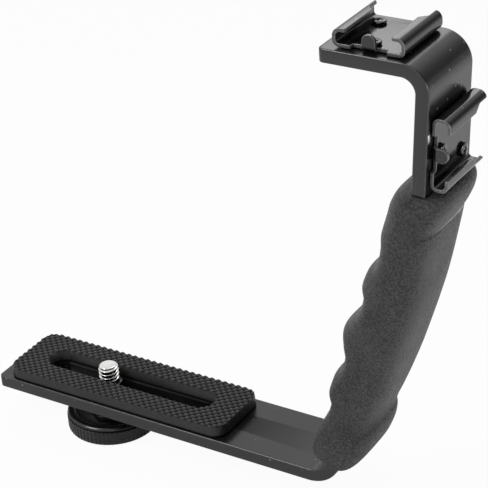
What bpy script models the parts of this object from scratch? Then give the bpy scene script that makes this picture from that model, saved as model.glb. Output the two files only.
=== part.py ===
"""Camera flash bracket: a bent flat bar with a slotted base, a moulded hand grip and two accessory shoes.

Metres, +Z up. X runs along the base towards the grip, Y across the bar. The bar is drawn with X = 0 at the
base's free end and Z = 0 on the base's top face; at the end the whole bracket is moved so that the middle of
its box stands on the origin.
"""
import math

import bmesh
import bpy
import numpy as np
from mathutils import Vector

MM = 0.001
MERGE_DISTANCE = 0.001 * MM

# Bar: flat stock bent into a C
BAR_WIDTH = 25.0 * MM
BAR_THICKNESS = 4.0 * MM
BAR_CHAMFER = 0.4 * MM
BAR_END_RADIUS = 1.6 * MM
BASE_LENGTH = 113.6 * MM
LOWER_BEND_RADIUS = 7.3 * MM
SOFT_BEND_RADIUS = 38.0 * MM
TOP_BEND_RADIUS = 4.1 * MM
ARM_HEADING = math.radians(71.5)
LEG_HEADING = math.radians(86.47)
ARM_REACH = 90.72 * MM
TOP_HEIGHT = 134.0 * MM
TOP_ARM_LENGTH = 32.4 * MM
BEND_STEP = math.radians(8.0)
END_CORNER_STEPS = 3

# Seats: what touches in reality is held this far apart
SEAT_GAP = 0.3 * MM
CUT_OVERRUN = 2.0 * MM

# Screw slot, through the bar and wider through the pad
SLOT_START = 17.0 * MM
SLOT_BEFORE_PAD_END = 14.5 * MM
BAR_SLOT_WIDTH = 6.8 * MM
PAD_SLOT_WIDTH = 9.0 * MM
SLOT_END_STEPS = 14

# Rubber pad
PAD_START = 3.2 * MM
PAD_BEFORE_BASE_END = 30.1 * MM
PAD_END = BASE_LENGTH - PAD_BEFORE_BASE_END
SLOT_END = PAD_END - SLOT_BEFORE_PAD_END
PAD_WIDTH = 23.6 * MM
PAD_HEIGHT = 4.0 * MM
PAD_DRAFT = 0.35 * MM
PAD_CORNER_RADIUS = 4.5 * MM
PAD_EDGE_RADIUS = 0.35 * MM
PAD_CORNER_STEPS = 7

# Accessory shoes: folded sheet, across / along / up from the seat
SHOE_SHEET = 1.0 * MM
SHOE_INNER_WIDTH = 18.9 * MM
SHOE_LENGTH = 21.0 * MM
SHOE_HEIGHT = 5.2 * MM
SHOE_LIP_GAP = 13.2 * MM
SHOE_LOW_RADIUS = 0.9 * MM
SHOE_HIGH_RADIUS = 1.3 * MM
SHOE_SHEET_CHAMFER = 0.12 * MM
SHOE_BEND_STEP = math.radians(15.0)
TOP_SHOE_SETBACK = 18.5 * MM
SIDE_SHOE_DROP = 24.85 * MM
LEAD_IN_LENGTH = 6.3 * MM
LEAD_IN_NARROW = 4.5 * MM
LEAD_IN_SPREAD = 1.9 * MM
STOP_TAB_WIDTH = 3.9 * MM
STOP_TAB_HEIGHT = 4.7 * MM
STOP_TAB_BEND_RADIUS = 0.4 * MM
STOP_TAB_SETBACK = 0.1 * MM
RELIEF_WIDTH = 10.2 * MM
RELIEF_DEPTH = 1.5 * MM
STOP_TAB_STEPS = 6
STOP_TAB_BEND_STEP = math.radians(22.5)
STOP_TAB_ROUND_END = math.radians(80.0)

# Shoe screws: pan head, three to a shoe
SHOE_SCREW_HEAD_DIAMETER = 4.0 * MM
SHOE_SCREW_HEAD_HEIGHT = 0.85 * MM
SHOE_SCREW_DIAMETER = 2.0 * MM
SHOE_SCREW_REACH = 3.6 * MM
SHOE_SCREW_SPREAD = 5.4 * MM
SHOE_SCREW_REAR_INSET = 4.9 * MM
SHOE_SCREW_FRONT_INSET = 3.4 * MM
SHOE_SCREW_STEPS = 18
CROSS_LENGTH = 2.3 * MM
CROSS_WIDTH = 0.6 * MM
CROSS_DEPTH = 0.5 * MM

# Hand grip, measured from the bar's middle line towards the palm and towards the fingers
GRIP_DROP = 2.6 * MM
GRIP_BELOW_SHOE = 1.585 * MM
GRIP_WIDTH = 28.4 * MM
GRIP_PALM_DEPTH = 7.5 * MM
GRIP_FINGER_DEPTH = 11.9 * MM
GRIP_ROUNDNESS = 3.0
GRIP_ROWS = 56
GRIP_SIDES = 40
GRIP_LEAST_ROW_SHARE = 0.002

# Camera screw: 1/4 inch camera thread, waist, hexagon core with a tripod socket
SCREW_AT = 34.7 * MM
THREAD_DIAMETER = 6.35 * MM
THREAD_TOP = 6.6 * MM
THREAD_CHAMFER = 0.6 * MM
WAIST_DIAMETER = 4.8 * MM
CORE_ACROSS_FLATS = 11.5 * MM
SOCKET_DIAMETER = 5.3 * MM
SOCKET_DEPTH = 5.0 * MM
SOCKET_CHAMFER = 0.5 * MM
SCREW_STEPS = 32
SCREW_LIFT = 2.6 * MM

# Clip and washer
CLIP_DIAMETER = 8.4 * MM
CLIP_THICKNESS = 0.8 * MM
CLIP_MOUTH = math.radians(76.0)
CLIP_STEPS = 24
WASHER_DIAMETER = 12.4 * MM
WASHER_THICKNESS = 0.8 * MM
WASHER_STEPS = 36
WAIST_CLEARANCE = 0.3 * MM

# Knob
KNOB_DIAMETER = 29.0 * MM
KNOB_HEIGHT = 6.1 * MM
KNOB_RIB_DEPTH = 0.35 * MM
KNOB_RIBS = 64
KNOB_TOP_RADIUS = 1.3 * MM
KNOB_FOOT_RADIUS = 0.8 * MM
KNOB_DISH_DEPTH = 1.1 * MM
KNOB_DISH_SLOPE = 0.5 * MM
KNOB_RIM_WIDTH = 2.9 * MM
KNOB_TOP_BELOW_CORE = 0.3 * MM
KNOB_ROUND_STEPS = 3

SMOOTH_ANGLE = math.radians(35.0)


# Scene and materials
def clear_scene():
    """Remove every object, mesh and material that the file holds."""
    for obj in list(bpy.data.objects):
        bpy.data.objects.remove(obj, do_unlink=True)
    for mesh in list(bpy.data.meshes):
        bpy.data.meshes.remove(mesh)
    for material in list(bpy.data.materials):
        bpy.data.materials.remove(material)


def material(name, colour, roughness, metallic=0.0):
    """One Principled material; colour is linear RGB."""
    made = bpy.data.materials.new(name)
    made.use_nodes = True
    shader = made.node_tree.nodes["Principled BSDF"]
    shader.inputs["Base Color"].default_value = (*colour, 1.0)
    shader.inputs["Roughness"].default_value = roughness
    shader.inputs["Metallic"].default_value = metallic
    return made


def empty(name, parent=None, location=(0.0, 0.0, 0.0), turn_y=0.0):
    """A point that carries other pieces."""
    made = bpy.data.objects.new(name, None)
    made.location = location
    made.rotation_euler = (0.0, turn_y, 0.0)
    made.parent = parent
    bpy.context.scene.collection.objects.link(made)
    return made


def piece(name, bm, parent, finish):
    """Turn a bmesh into a named object under its parent, with smooth round faces."""
    bmesh.ops.remove_doubles(bm, verts=bm.verts, dist=MERGE_DISTANCE)
    bmesh.ops.recalc_face_normals(bm, faces=bm.faces)
    mesh = bpy.data.meshes.new(name)
    bm.to_mesh(mesh)
    bm.free()
    made = bpy.data.objects.new(name, mesh)
    made.parent = parent
    bpy.context.scene.collection.objects.link(made)
    if finish is not None:
        mesh.materials.append(finish)
        mesh.shade_smooth()
        mesh.set_sharp_from_angle(angle=SMOOTH_ANGLE)
    return made


def boolean(target, cutter, operation="DIFFERENCE"):
    """Cut or join with a helper object that is never rendered."""
    cutter.hide_render = True
    cutter.display_type = "WIRE"
    modifier = target.modifiers.new(cutter.name, "BOOLEAN")
    modifier.operation = operation
    modifier.solver = "EXACT"
    modifier.object = cutter


# Solids from outlines
def add_loft(bm, loops):
    """Join closed loops of equal length with quads and close both ends."""
    rings = [[bm.verts.new(point) for point in loop] for loop in loops]
    count = len(rings[0])
    for low, high in zip(rings[:-1], rings[1:]):
        for i in range(count):
            j = (i + 1) % count
            bm.faces.new((low[i], low[j], high[j], high[i]))
    bm.faces.new(list(reversed(rings[0])))
    bm.faces.new(rings[-1])


def add_prism(bm, outline, low, high):
    """Raise a closed XY outline from one height to another."""
    add_loft(bm, [[(x, y, z) for x, y in outline] for z in (low, high)])


def add_turned(bm, profile, steps, centre=(0.0, 0.0)):
    """Turn a profile of (radius, height) points round a vertical axis; radius 0 closes on the axis."""
    angles = [2.0 * math.pi * k / steps for k in range(steps)]
    rings = []
    for radius, height in profile:
        if radius == 0.0:
            rings.append([bm.verts.new((centre[0], centre[1], height))] * steps)
        else:
            rings.append([bm.verts.new((centre[0] + radius * math.cos(a), centre[1] + radius * math.sin(a),
                                        height)) for a in angles])
    closed = profile[0][0] != 0.0
    pairs = list(zip(rings[:-1], rings[1:])) + ([(rings[-1], rings[0])] if closed else [])
    for low, high in pairs:
        for i in range(steps):
            j = (i + 1) % steps
            corners = []
            for corner in (low[i], low[j], high[j], high[i]):
                if corner not in corners:
                    corners.append(corner)
            bm.faces.new(corners)


def arc(centre_a, centre_b, radius, start, end, steps):
    """Points of a round stretch, both ends included."""
    return [(centre_a + radius * math.cos(start + (end - start) * k / steps),
             centre_b + radius * math.sin(start + (end - start) * k / steps)) for k in range(steps + 1)]


def slot_outline(start, end, width, steps):
    """A slot with round ends, along X."""
    radius = width / 2
    return (arc(end, 0.0, radius, -math.pi / 2, math.pi / 2, steps)
            + arc(start, 0.0, radius, math.pi / 2, 3 * math.pi / 2, steps))


def rounded_outline(x_low, x_high, half_width, radius, steps):
    """A rectangle with round corners."""
    quarter = math.pi / 2
    corners = ((x_high - radius, half_width - radius, 0.0), (x_low + radius, half_width - radius, quarter),
               (x_low + radius, radius - half_width, 2 * quarter), (x_high - radius, radius - half_width, 3 * quarter))
    outline = []
    for x, y, start in corners:
        outline += arc(x, y, radius, start, start + quarter, steps)
    return outline


# Bent strips: straight runs and round bends in the XZ plane
def run(length):
    return ("run", length, 0.0)


def bend(radius, turn):
    """A bend of the strip's middle line; a positive turn is to the left of the way it goes."""
    return ("bend", radius, turn)


def trace(start, heading, moves, step=BEND_STEP):
    """Stations (x, z, heading) at the start and end of every run and along every bend."""
    x, z = start
    stations = [(x, z, heading)]
    for kind, size, turn in moves:
        if kind == "run":
            x += size * math.cos(heading)
            z += size * math.sin(heading)
            stations.append((x, z, heading))
            continue
        count = max(1, round(abs(turn) / step))
        side = math.copysign(size, turn)
        centre_x = x - side * math.sin(heading)
        centre_z = z + side * math.cos(heading)
        for k in range(1, count + 1):
            angle = heading + turn * k / count
            stations.append((centre_x + side * math.sin(angle), centre_z - side * math.cos(angle), angle))
        x, z, heading = stations[-1]
    return stations


def place(station, out, across):
    """A point beside a station: out is away from the inside of the C, across is along Y."""
    x, z, heading = station
    return (x + out * math.sin(heading), across, z - out * math.cos(heading))


def strip_loop(half_thickness, half_width, chamfer):
    """The strip's cross-section as (out, across) points."""
    t, w, c = half_thickness, half_width, chamfer
    if c == 0.0:
        return [(t, -w), (t, w), (-t, w), (-t, -w)]
    return [(t, c - w), (t, w - c), (t - c, w), (c - t, w), (-t, w - c), (-t, c - w), (c - t, -w), (t - c, -w)]


def along(station, distance):
    """The same station moved along its heading."""
    x, z, heading = station
    return (x + distance * math.cos(heading), z + distance * math.sin(heading), heading)


def end_insets(chamfer, end_radius):
    """Loops near a strip's end as (distance from the end, how much narrower, how much thinner)."""
    if chamfer == 0.0:
        return [(0.0, 0.0, 0.0)]
    insets = [(0.0, chamfer + end_radius, chamfer)]
    if end_radius == 0.0:
        return insets + [(chamfer, 0.0, 0.0)]
    for k in range(END_CORNER_STEPS, -1, -1):
        angle = (math.pi / 2) * k / END_CORNER_STEPS
        insets.append((chamfer + end_radius * (1.0 - math.sin(angle)), end_radius * (1.0 - math.cos(angle)), 0.0))
    return insets


def add_strip(bm, stations, thickness, width, chamfer=0.0, end_radius=0.0):
    """A bent strip with chamfered edges and, where end_radius is given, round end corners."""
    insets = end_insets(chamfer, end_radius)
    sections = [(along(stations[0], inset), narrow, thin) for inset, narrow, thin in insets]
    sections += [(station, 0.0, 0.0) for station in stations[1:-1]]
    sections += [(along(stations[-1], -inset), narrow, thin) for inset, narrow, thin in reversed(insets)]
    loops = []
    for station, narrow, thin in sections:
        points = strip_loop(thickness / 2 - thin, width / 2 - narrow, chamfer)
        loops.append([place(station, out, across) for out, across in points])
    add_loft(bm, loops)


# The bar's middle line
def bar_layout():
    """Lengths of the bar's runs and bends, with the leg's outer face at the level of the top arm's top face.

    The arm's line and the leg's line cross ARM_REACH beyond the lower bend; the soft bend rounds that corner.
    """
    half = BAR_THICKNESS / 2
    lower = LOWER_BEND_RADIUS + half
    soft = SOFT_BEND_RADIUS + half
    top = TOP_BEND_RADIUS + half
    arm = Vector((math.cos(ARM_HEADING), math.sin(ARM_HEADING)))
    leg = Vector((math.cos(LEG_HEADING), math.sin(LEG_HEADING)))
    arm_start = Vector((BASE_LENGTH + lower * math.sin(ARM_HEADING), -half + lower * (1.0 - math.cos(ARM_HEADING))))
    corner = arm_start + ARM_REACH * arm
    to_top_arm = (TOP_HEIGHT - half - corner.y) / leg.y
    to_top_level = (TOP_HEIGHT + half * leg.x - corner.y) / leg.y
    reach = (corner + to_top_level * leg).x + half * leg.y
    soft_turn = LEG_HEADING - ARM_HEADING
    top_turn = math.pi - LEG_HEADING
    soft_tangent = soft * math.tan(soft_turn / 2)
    top_tangent = top * math.tan(top_turn / 2)
    top_run = (corner + to_top_arm * leg).x - top_tangent - (reach - TOP_ARM_LENGTH)
    moves = [run(BASE_LENGTH), bend(lower, ARM_HEADING), run(ARM_REACH - soft_tangent), bend(soft, soft_turn),
             run(to_top_arm - soft_tangent - top_tangent), bend(top, top_turn), run(top_run)]
    arm_to_side_seat = ARM_REACH - soft_tangent + soft * soft_turn + to_top_level - SIDE_SHOE_DROP - soft_tangent
    return moves, reach, arm_to_side_seat


def bar_moves():
    return bar_layout()[0]


def bar_stations():
    return trace((0.0, -BAR_THICKNESS / 2), 0.0, bar_moves())


def leg_seat(drop):
    """A point on the leg's outer face, measured down the leg from the level of the top arm's top face."""
    return (bar_layout()[1] - drop * math.cos(LEG_HEADING), 0.0, TOP_HEIGHT - drop * math.sin(LEG_HEADING))


SHOE_SCREW_FRONT = SHOE_LENGTH / 2 - SHOE_SCREW_FRONT_INSET
SHOE_SCREW_REAR = SHOE_LENGTH / 2 - SHOE_SCREW_REAR_INSET
SHOE_SCREW_PLACES = (("front", 0.0, -SHOE_SCREW_FRONT),
                     ("rear_left", -SHOE_SCREW_SPREAD, SHOE_SCREW_REAR),
                     ("rear_right", SHOE_SCREW_SPREAD, SHOE_SCREW_REAR))


def frame_bar(root, seats, finish):
    """The bent bar with its screw slot and the holes that the shoe screws go into."""
    bm = bmesh.new()
    add_strip(bm, bar_stations(), BAR_THICKNESS, BAR_WIDTH, BAR_CHAMFER, BAR_END_RADIUS)
    bar = piece("frame_bar", bm, root, finish)

    bm = bmesh.new()
    outline = slot_outline(SLOT_START, SLOT_END, BAR_SLOT_WIDTH, SLOT_END_STEPS)
    add_prism(bm, outline, -BAR_THICKNESS - CUT_OVERRUN, CUT_OVERRUN)
    boolean(bar, piece("bar_slot_cutter", bm, root, None))

    hole = SHOE_SCREW_DIAMETER / 2 + SEAT_GAP
    for name, seat in seats:
        bm = bmesh.new()
        for _, x, y in SHOE_SCREW_PLACES:
            add_turned(bm, [(0.0, -BAR_THICKNESS - CUT_OVERRUN), (hole, -BAR_THICKNESS - CUT_OVERRUN),
                            (hole, CUT_OVERRUN), (0.0, CUT_OVERRUN)], SHOE_SCREW_STEPS, (x, y))
        boolean(bar, piece(name + "_bar_hole_cutter", bm, seat, None))
    return bar


def rubber_pad(root, finish):
    """The pad: drafted side walls, a softened top edge and the slot that the clip runs in."""
    half = PAD_WIDTH / 2
    levels = ((SEAT_GAP, 0.0), (PAD_HEIGHT - PAD_EDGE_RADIUS, PAD_DRAFT), (PAD_HEIGHT, PAD_DRAFT + PAD_EDGE_RADIUS))
    bm = bmesh.new()
    loops = []
    for height, inset in levels:
        outline = rounded_outline(PAD_START + inset, PAD_END - inset, half - inset, PAD_CORNER_RADIUS - inset,
                                  PAD_CORNER_STEPS)
        loops.append([(x, y, height) for x, y in outline])
    add_loft(bm, loops)
    pad = piece("rubber_pad", bm, root, finish)
    bm = bmesh.new()
    add_prism(bm, slot_outline(SLOT_START, SLOT_END, PAD_SLOT_WIDTH, SLOT_END_STEPS), -CUT_OVERRUN,
              PAD_HEIGHT + CUT_OVERRUN)
    boolean(pad, piece("pad_slot_cutter", bm, root, None))
    return pad


# Hand grip
PALM_SHARES = ((0.000, 0.632), (0.008, 0.664), (0.030, 0.733), (0.085, 0.909), (0.120, 0.937),
               (0.145, 0.879), (0.165, 0.733), (0.190, 0.743), (0.250, 0.833), (0.345, 0.936),
               (0.440, 0.991), (0.540, 0.997), (0.640, 0.977), (0.720, 0.908), (0.780, 0.823),
               (0.820, 0.747), (0.845, 0.689), (0.862, 0.651), (0.885, 0.597), (0.910, 0.691),
               (0.935, 0.817), (0.960, 0.917), (0.976, 0.947), (0.988, 0.913), (0.996, 0.827),
               (1.000, 0.747))
FINGER_SHARES = ((0.000, 0.756), (0.006, 0.794), (0.025, 0.810), (0.060, 0.808), (0.100, 0.771),
                 (0.140, 0.711), (0.175, 0.672), (0.210, 0.680), (0.245, 0.856), (0.285, 0.849),
                 (0.320, 0.744), (0.350, 0.700), (0.385, 0.728), (0.420, 0.887), (0.460, 1.001),
                 (0.495, 0.901), (0.530, 0.784), (0.565, 0.734), (0.600, 0.764), (0.635, 0.904),
                 (0.670, 0.885), (0.705, 0.750), (0.740, 0.712), (0.775, 0.753), (0.820, 0.860),
                 (0.870, 0.871), (0.910, 0.878), (0.945, 0.828), (0.970, 0.748), (0.988, 0.609),
                 (0.996, 0.504), (1.000, 0.437))
WIDTH_SHARES = ((0.000, 0.945), (0.008, 0.975), (0.030, 0.99), (0.100, 1.00), (0.500, 1.00), (0.800, 0.99),
                (0.960, 0.985), (0.985, 0.97), (0.997, 0.95), (1.000, 0.935))


def smooth_shares(rows, at):
    """Read a table of shares by a cubic that never swings past its rows."""
    places, values = (np.array(column, float) for column in zip(*rows))
    widths = np.diff(places)
    rises = np.diff(values) / widths
    slopes = np.zeros(len(values))
    same_way = rises[:-1] * rises[1:] > 0.0
    inner = np.where(same_way, 2.0 * rises[:-1] * rises[1:] / np.where(same_way, rises[:-1] + rises[1:], 1.0), 0.0)
    slopes[1:-1] = inner
    slopes[0], slopes[-1] = rises[0], rises[-1]
    at = np.asarray(at, float)
    k = np.clip(np.searchsorted(places, at) - 1, 0, len(widths) - 1)
    t = (at - places[k]) / widths[k]
    return ((2 * t ** 3 - 3 * t ** 2 + 1) * values[k] + (t ** 3 - 2 * t ** 2 + t) * widths[k] * slopes[k]
            + (3 * t ** 2 - 2 * t ** 3) * values[k + 1] + (t ** 3 - t ** 2) * widths[k] * slopes[k + 1])


def grip_stations(shares):
    """The grip's spine: the arm's line, run a little past its lower end, then the soft bend and the leg.

    It ends a clearance below the side shoe's lower wall.
    """
    moves, _, arm_to_side_seat = bar_layout()
    length = GRIP_DROP + arm_to_side_seat - SHOE_INNER_WIDTH / 2 - SHOE_SHEET - GRIP_BELOW_SHOE
    at_arm = trace((0.0, -BAR_THICKNESS / 2), 0.0, moves[:2])[-1]
    start = along(at_arm, -GRIP_DROP)
    arm_length = GRIP_DROP + moves[2][1]
    soft_radius, soft_turn = moves[3][1], moves[3][2]
    soft_length = soft_radius * soft_turn
    stations = []
    for share in shares:
        distance = share * length
        if distance <= arm_length:
            stations.append(along(start, distance))
            continue
        turn = min((distance - arm_length) / soft_radius, soft_turn)
        bent = trace((along(start, arm_length)[0], along(start, arm_length)[1]), start[2],
                     [bend(soft_radius, turn)], turn)[-1]
        stations.append(along(bent, max(0.0, distance - arm_length - soft_length)))
    return stations


def grip_rows():
    """Row places, closer together where the ends are rounded and at the two palm ridges."""
    even = np.linspace(0.0, 1.0, GRIP_ROWS)
    rows = np.concatenate([even, [row[0] for row in PALM_SHARES], [row[0] for row in WIDTH_SHARES]])
    return np.unique(np.round(rows, 4))


def hand_grip(root, finish):
    """A sleeve of varying oval section, finger waves inside and a scooped palm outside, bored for the bar."""
    rows = grip_rows()
    rows = rows[np.concatenate([[True], np.diff(rows) > GRIP_LEAST_ROW_SHARE])]
    rows[-1] = 1.0
    palm = GRIP_PALM_DEPTH * smooth_shares(PALM_SHARES, rows)
    finger = GRIP_FINGER_DEPTH * smooth_shares(FINGER_SHARES, rows)
    half_width = GRIP_WIDTH / 2 * smooth_shares(WIDTH_SHARES, rows)
    power = 2.0 / GRIP_ROUNDNESS
    angles = 2.0 * np.pi * np.arange(GRIP_SIDES) / GRIP_SIDES
    across_unit = np.sign(np.cos(angles)) * np.abs(np.cos(angles)) ** power
    out_unit = np.sign(np.sin(angles)) * np.abs(np.sin(angles)) ** power
    loops = []
    for station, p, f, w in zip(grip_stations(rows), palm, finger, half_width):
        out = np.where(out_unit > 0.0, p * out_unit, f * out_unit)
        loops.append([place(station, o, a) for o, a in zip(out, w * across_unit)])
    bm = bmesh.new()
    add_loft(bm, loops)
    grip = piece("hand_grip", bm, root, finish)
    bm = bmesh.new()
    add_strip(bm, bar_stations(), BAR_THICKNESS + 2 * SEAT_GAP, BAR_WIDTH + 2 * SEAT_GAP)
    boolean(grip, piece("grip_bore_cutter", bm, root, None))
    return grip


# Accessory shoes
def shoe_stations():
    """The folded sheet's middle line, from lip to lip."""
    half = SHOE_SHEET / 2
    low = SHOE_LOW_RADIUS + half
    high = SHOE_HIGH_RADIUS + half
    wall = SHOE_INNER_WIDTH / 2 + half
    lip_tip = SHOE_LIP_GAP / 2
    lip = wall - high - lip_tip
    rise = SHOE_HEIGHT - SHOE_SHEET - low - high
    floor = 2 * (wall - low)
    quarter = math.pi / 2
    moves = [run(lip), bend(high, quarter), run(rise), bend(low, quarter), run(floor), bend(low, quarter), run(rise),
             bend(high, quarter), run(lip)]
    return trace((-lip_tip, SHOE_HEIGHT - half), math.pi, moves, SHOE_BEND_STEP)


def lead_in_outline():
    """What is cut from both lips at the back: the mouth widens, then runs straight to the end."""
    tip = SHOE_LIP_GAP / 2
    wide = tip + LEAD_IN_SPREAD
    back = SHOE_LENGTH / 2
    return [(tip - CUT_OVERRUN, back - LEAD_IN_LENGTH - CUT_OVERRUN), (wide, back - LEAD_IN_NARROW),
            (wide, back + CUT_OVERRUN), (-wide, back + CUT_OVERRUN), (-wide, back - LEAD_IN_NARROW),
            (CUT_OVERRUN - tip, back - LEAD_IN_LENGTH - CUT_OVERRUN)]


def stop_tab_loops():
    """The stop tab: it leaves the floor towards the front, bends up and ends in a half-round top."""
    half = SHOE_SHEET / 2
    radius = STOP_TAB_WIDTH / 2
    bend_radius = STOP_TAB_BEND_RADIUS + half
    front = STOP_TAB_SETBACK - SHOE_LENGTH / 2
    start = (RELIEF_DEPTH - SHOE_LENGTH / 2 + SEAT_GAP, SEAT_GAP + half)
    level = start[0] - (front + half + bend_radius)
    rise = STOP_TAB_HEIGHT - radius - half - bend_radius
    moves = [run(level), bend(bend_radius, -math.pi / 2), run(rise)]
    stations = trace(start, math.pi, moves, STOP_TAB_BEND_STEP)
    sizes = [(station, radius) for station in stations]
    for k in range(1, STOP_TAB_STEPS + 1):
        angle = STOP_TAB_ROUND_END * k / STOP_TAB_STEPS
        sizes.append((along(stations[-1], radius * math.sin(angle)), radius * math.cos(angle)))
    loops = []
    for station, half_width in sizes:
        points = [place(station, out, across) for out, across in strip_loop(half, half_width, 0.0)]
        loops.append([(across, y, z) for y, across, z in points])
    return loops


def accessory_shoe(name, seat, finish):
    """One stamping: channel, curled lips with a widened mouth, and the stop tab bent up at the front."""
    bm = bmesh.new()
    add_strip(bm, shoe_stations(), SHOE_SHEET, SHOE_LENGTH, SHOE_SHEET_CHAMFER)
    bmesh.ops.translate(bm, verts=bm.verts, vec=(0.0, 0.0, SEAT_GAP))
    shoe = piece(name, bm, seat, finish)

    front = -SHOE_LENGTH / 2
    mouth_low = SEAT_GAP + SHOE_HEIGHT - SHOE_SHEET - SHOE_HIGH_RADIUS / 2
    bm = bmesh.new()
    add_prism(bm, lead_in_outline(), mouth_low, SEAT_GAP + SHOE_HEIGHT + CUT_OVERRUN)
    boolean(shoe, piece(name + "_mouth_cutter", bm, seat, None))
    bm = bmesh.new()
    relief = RELIEF_WIDTH / 2
    add_prism(bm, [(-relief, front - CUT_OVERRUN), (relief, front - CUT_OVERRUN), (relief, front + RELIEF_DEPTH),
                   (-relief, front + RELIEF_DEPTH)], -CUT_OVERRUN, SEAT_GAP + SHOE_SHEET + CUT_OVERRUN)
    boolean(shoe, piece(name + "_relief_cutter", bm, seat, None))
    bm = bmesh.new()
    hole = SHOE_SCREW_DIAMETER / 2 + SEAT_GAP
    for _, x, y in SHOE_SCREW_PLACES:
        add_turned(bm, [(0.0, -CUT_OVERRUN), (hole, -CUT_OVERRUN), (hole, SHOE_SHEET + CUT_OVERRUN),
                        (0.0, SHOE_SHEET + CUT_OVERRUN)], SHOE_SCREW_STEPS, (x, y))
    boolean(shoe, piece(name + "_hole_cutter", bm, seat, None))

    bm = bmesh.new()
    add_loft(bm, stop_tab_loops())
    boolean(shoe, piece(name + "_stop_tab", bm, seat, None), "UNION")
    return shoe


def shoe_screw(name, seat, x, y, finish):
    """A pan-head screw with a cross recess, its head on the shoe's floor and its shank in the bar."""
    under_head = 2 * SEAT_GAP + SHOE_SHEET
    radius = SHOE_SCREW_HEAD_DIAMETER / 2
    shank = SHOE_SCREW_DIAMETER / 2
    crown = SHOE_SCREW_HEAD_HEIGHT / 2
    tip = under_head - SHOE_SHEET - SHOE_SCREW_REACH
    profile = [(0.0, tip), (shank - crown / 2, tip), (shank, tip + crown / 2), (shank, under_head),
               (radius, under_head), (radius, under_head + crown)]
    profile += [(radius * math.cos(a), under_head + crown + crown * math.sin(a))
                for a in (math.radians(30.0), math.radians(60.0))]
    profile.append((0.0, under_head + SHOE_SCREW_HEAD_HEIGHT))
    bm = bmesh.new()
    add_turned(bm, profile, SHOE_SCREW_STEPS)
    screw = piece(name, bm, seat, finish)
    screw.location = (x, y, 0.0)

    top = under_head + SHOE_SCREW_HEAD_HEIGHT
    long, wide = CROSS_LENGTH / 2, CROSS_WIDTH / 2
    outline = [(long, -wide), (long, wide), (wide, wide), (wide, long), (-wide, long), (-wide, wide), (-long, wide),
               (-long, -wide), (-wide, -wide), (-wide, -long), (wide, -long), (wide, -wide)]
    bm = bmesh.new()
    taper = (CROSS_LENGTH - 2 * CROSS_DEPTH) / CROSS_LENGTH
    add_loft(bm, [[(a * taper, b * taper, top - CROSS_DEPTH) for a, b in outline],
                  [(a, b, top + SEAT_GAP) for a, b in outline]])
    cutter = piece(name + "_cross_cutter", bm, seat, None)
    cutter.location = (x, y, 0.0)
    boolean(screw, cutter)
    return screw


# Camera screw assembly, heights above the base's top face
CLIP_LOW = SEAT_GAP
THREAD_LOW = CLIP_LOW + CLIP_THICKNESS + SEAT_GAP
WASHER_HIGH = -BAR_THICKNESS - SEAT_GAP - SCREW_LIFT
CORE_TOP = WASHER_HIGH - WASHER_THICKNESS - SEAT_GAP
KNOB_TOP = CORE_TOP - KNOB_TOP_BELOW_CORE
KNOB_FOOT = KNOB_TOP - KNOB_HEIGHT
CORE_FOOT = KNOB_FOOT + SEAT_GAP


def retaining_clip(parent, finish):
    """An open ring on the stud's waist that lies on the bar; its mouth faces the base's free end."""
    inner = WAIST_DIAMETER / 2 + WAIST_CLEARANCE
    outer = CLIP_DIAMETER / 2
    start = math.pi + CLIP_MOUTH / 2
    end = 3 * math.pi - CLIP_MOUTH / 2
    outline = (arc(0.0, 0.0, outer, start, end, CLIP_STEPS) + arc(0.0, 0.0, inner, end, start, CLIP_STEPS))
    bm = bmesh.new()
    add_prism(bm, outline, CLIP_LOW, CLIP_LOW + CLIP_THICKNESS)
    return piece("retaining_clip", bm, parent, finish)


def thrust_washer(parent, finish):
    """A flat ring between the knob's core and the bar."""
    inner = WAIST_DIAMETER / 2 + WAIST_CLEARANCE
    outer = WASHER_DIAMETER / 2
    low = WASHER_HIGH - WASHER_THICKNESS
    bm = bmesh.new()
    add_turned(bm, [(inner, low), (outer, low), (outer, WASHER_HIGH), (inner, WASHER_HIGH)], WASHER_STEPS)
    return piece("thrust_washer", bm, parent, finish)


def camera_screw(parent, finish):
    """Threaded stud on a slim waist, turned in one with the hexagon core that sits in the knob."""
    thread = THREAD_DIAMETER / 2
    waist = WAIST_DIAMETER / 2
    neck_foot = CORE_TOP - (CORE_TOP - CORE_FOOT) / 4
    bm = bmesh.new()
    add_turned(bm, [(0.0, neck_foot), (waist, neck_foot), (waist, THREAD_LOW), (thread, THREAD_LOW),
                    (thread, THREAD_TOP - THREAD_CHAMFER), (thread - THREAD_CHAMFER, THREAD_TOP),
                    (0.0, THREAD_TOP)], SCREW_STEPS)
    stud = piece("camera_screw", bm, parent, finish)
    corner = CORE_ACROSS_FLATS / 2 / math.cos(math.pi / 6)
    bm = bmesh.new()
    add_turned(bm, [(0.0, CORE_FOOT), (corner, CORE_FOOT), (corner, CORE_TOP), (0.0, CORE_TOP)], 6)
    boolean(stud, piece("camera_screw_core", bm, parent, None), "UNION")
    socket = SOCKET_DIAMETER / 2
    bm = bmesh.new()
    add_turned(bm, [(0.0, CORE_FOOT - CUT_OVERRUN), (socket + SOCKET_CHAMFER + CUT_OVERRUN, CORE_FOOT - CUT_OVERRUN),
                    (socket, CORE_FOOT + SOCKET_CHAMFER), (socket, CORE_FOOT + SOCKET_DEPTH),
                    (0.0, CORE_FOOT + SOCKET_DEPTH)], SCREW_STEPS)
    boolean(stud, piece("camera_screw_socket_cutter", bm, parent, None))
    return stud


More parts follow.
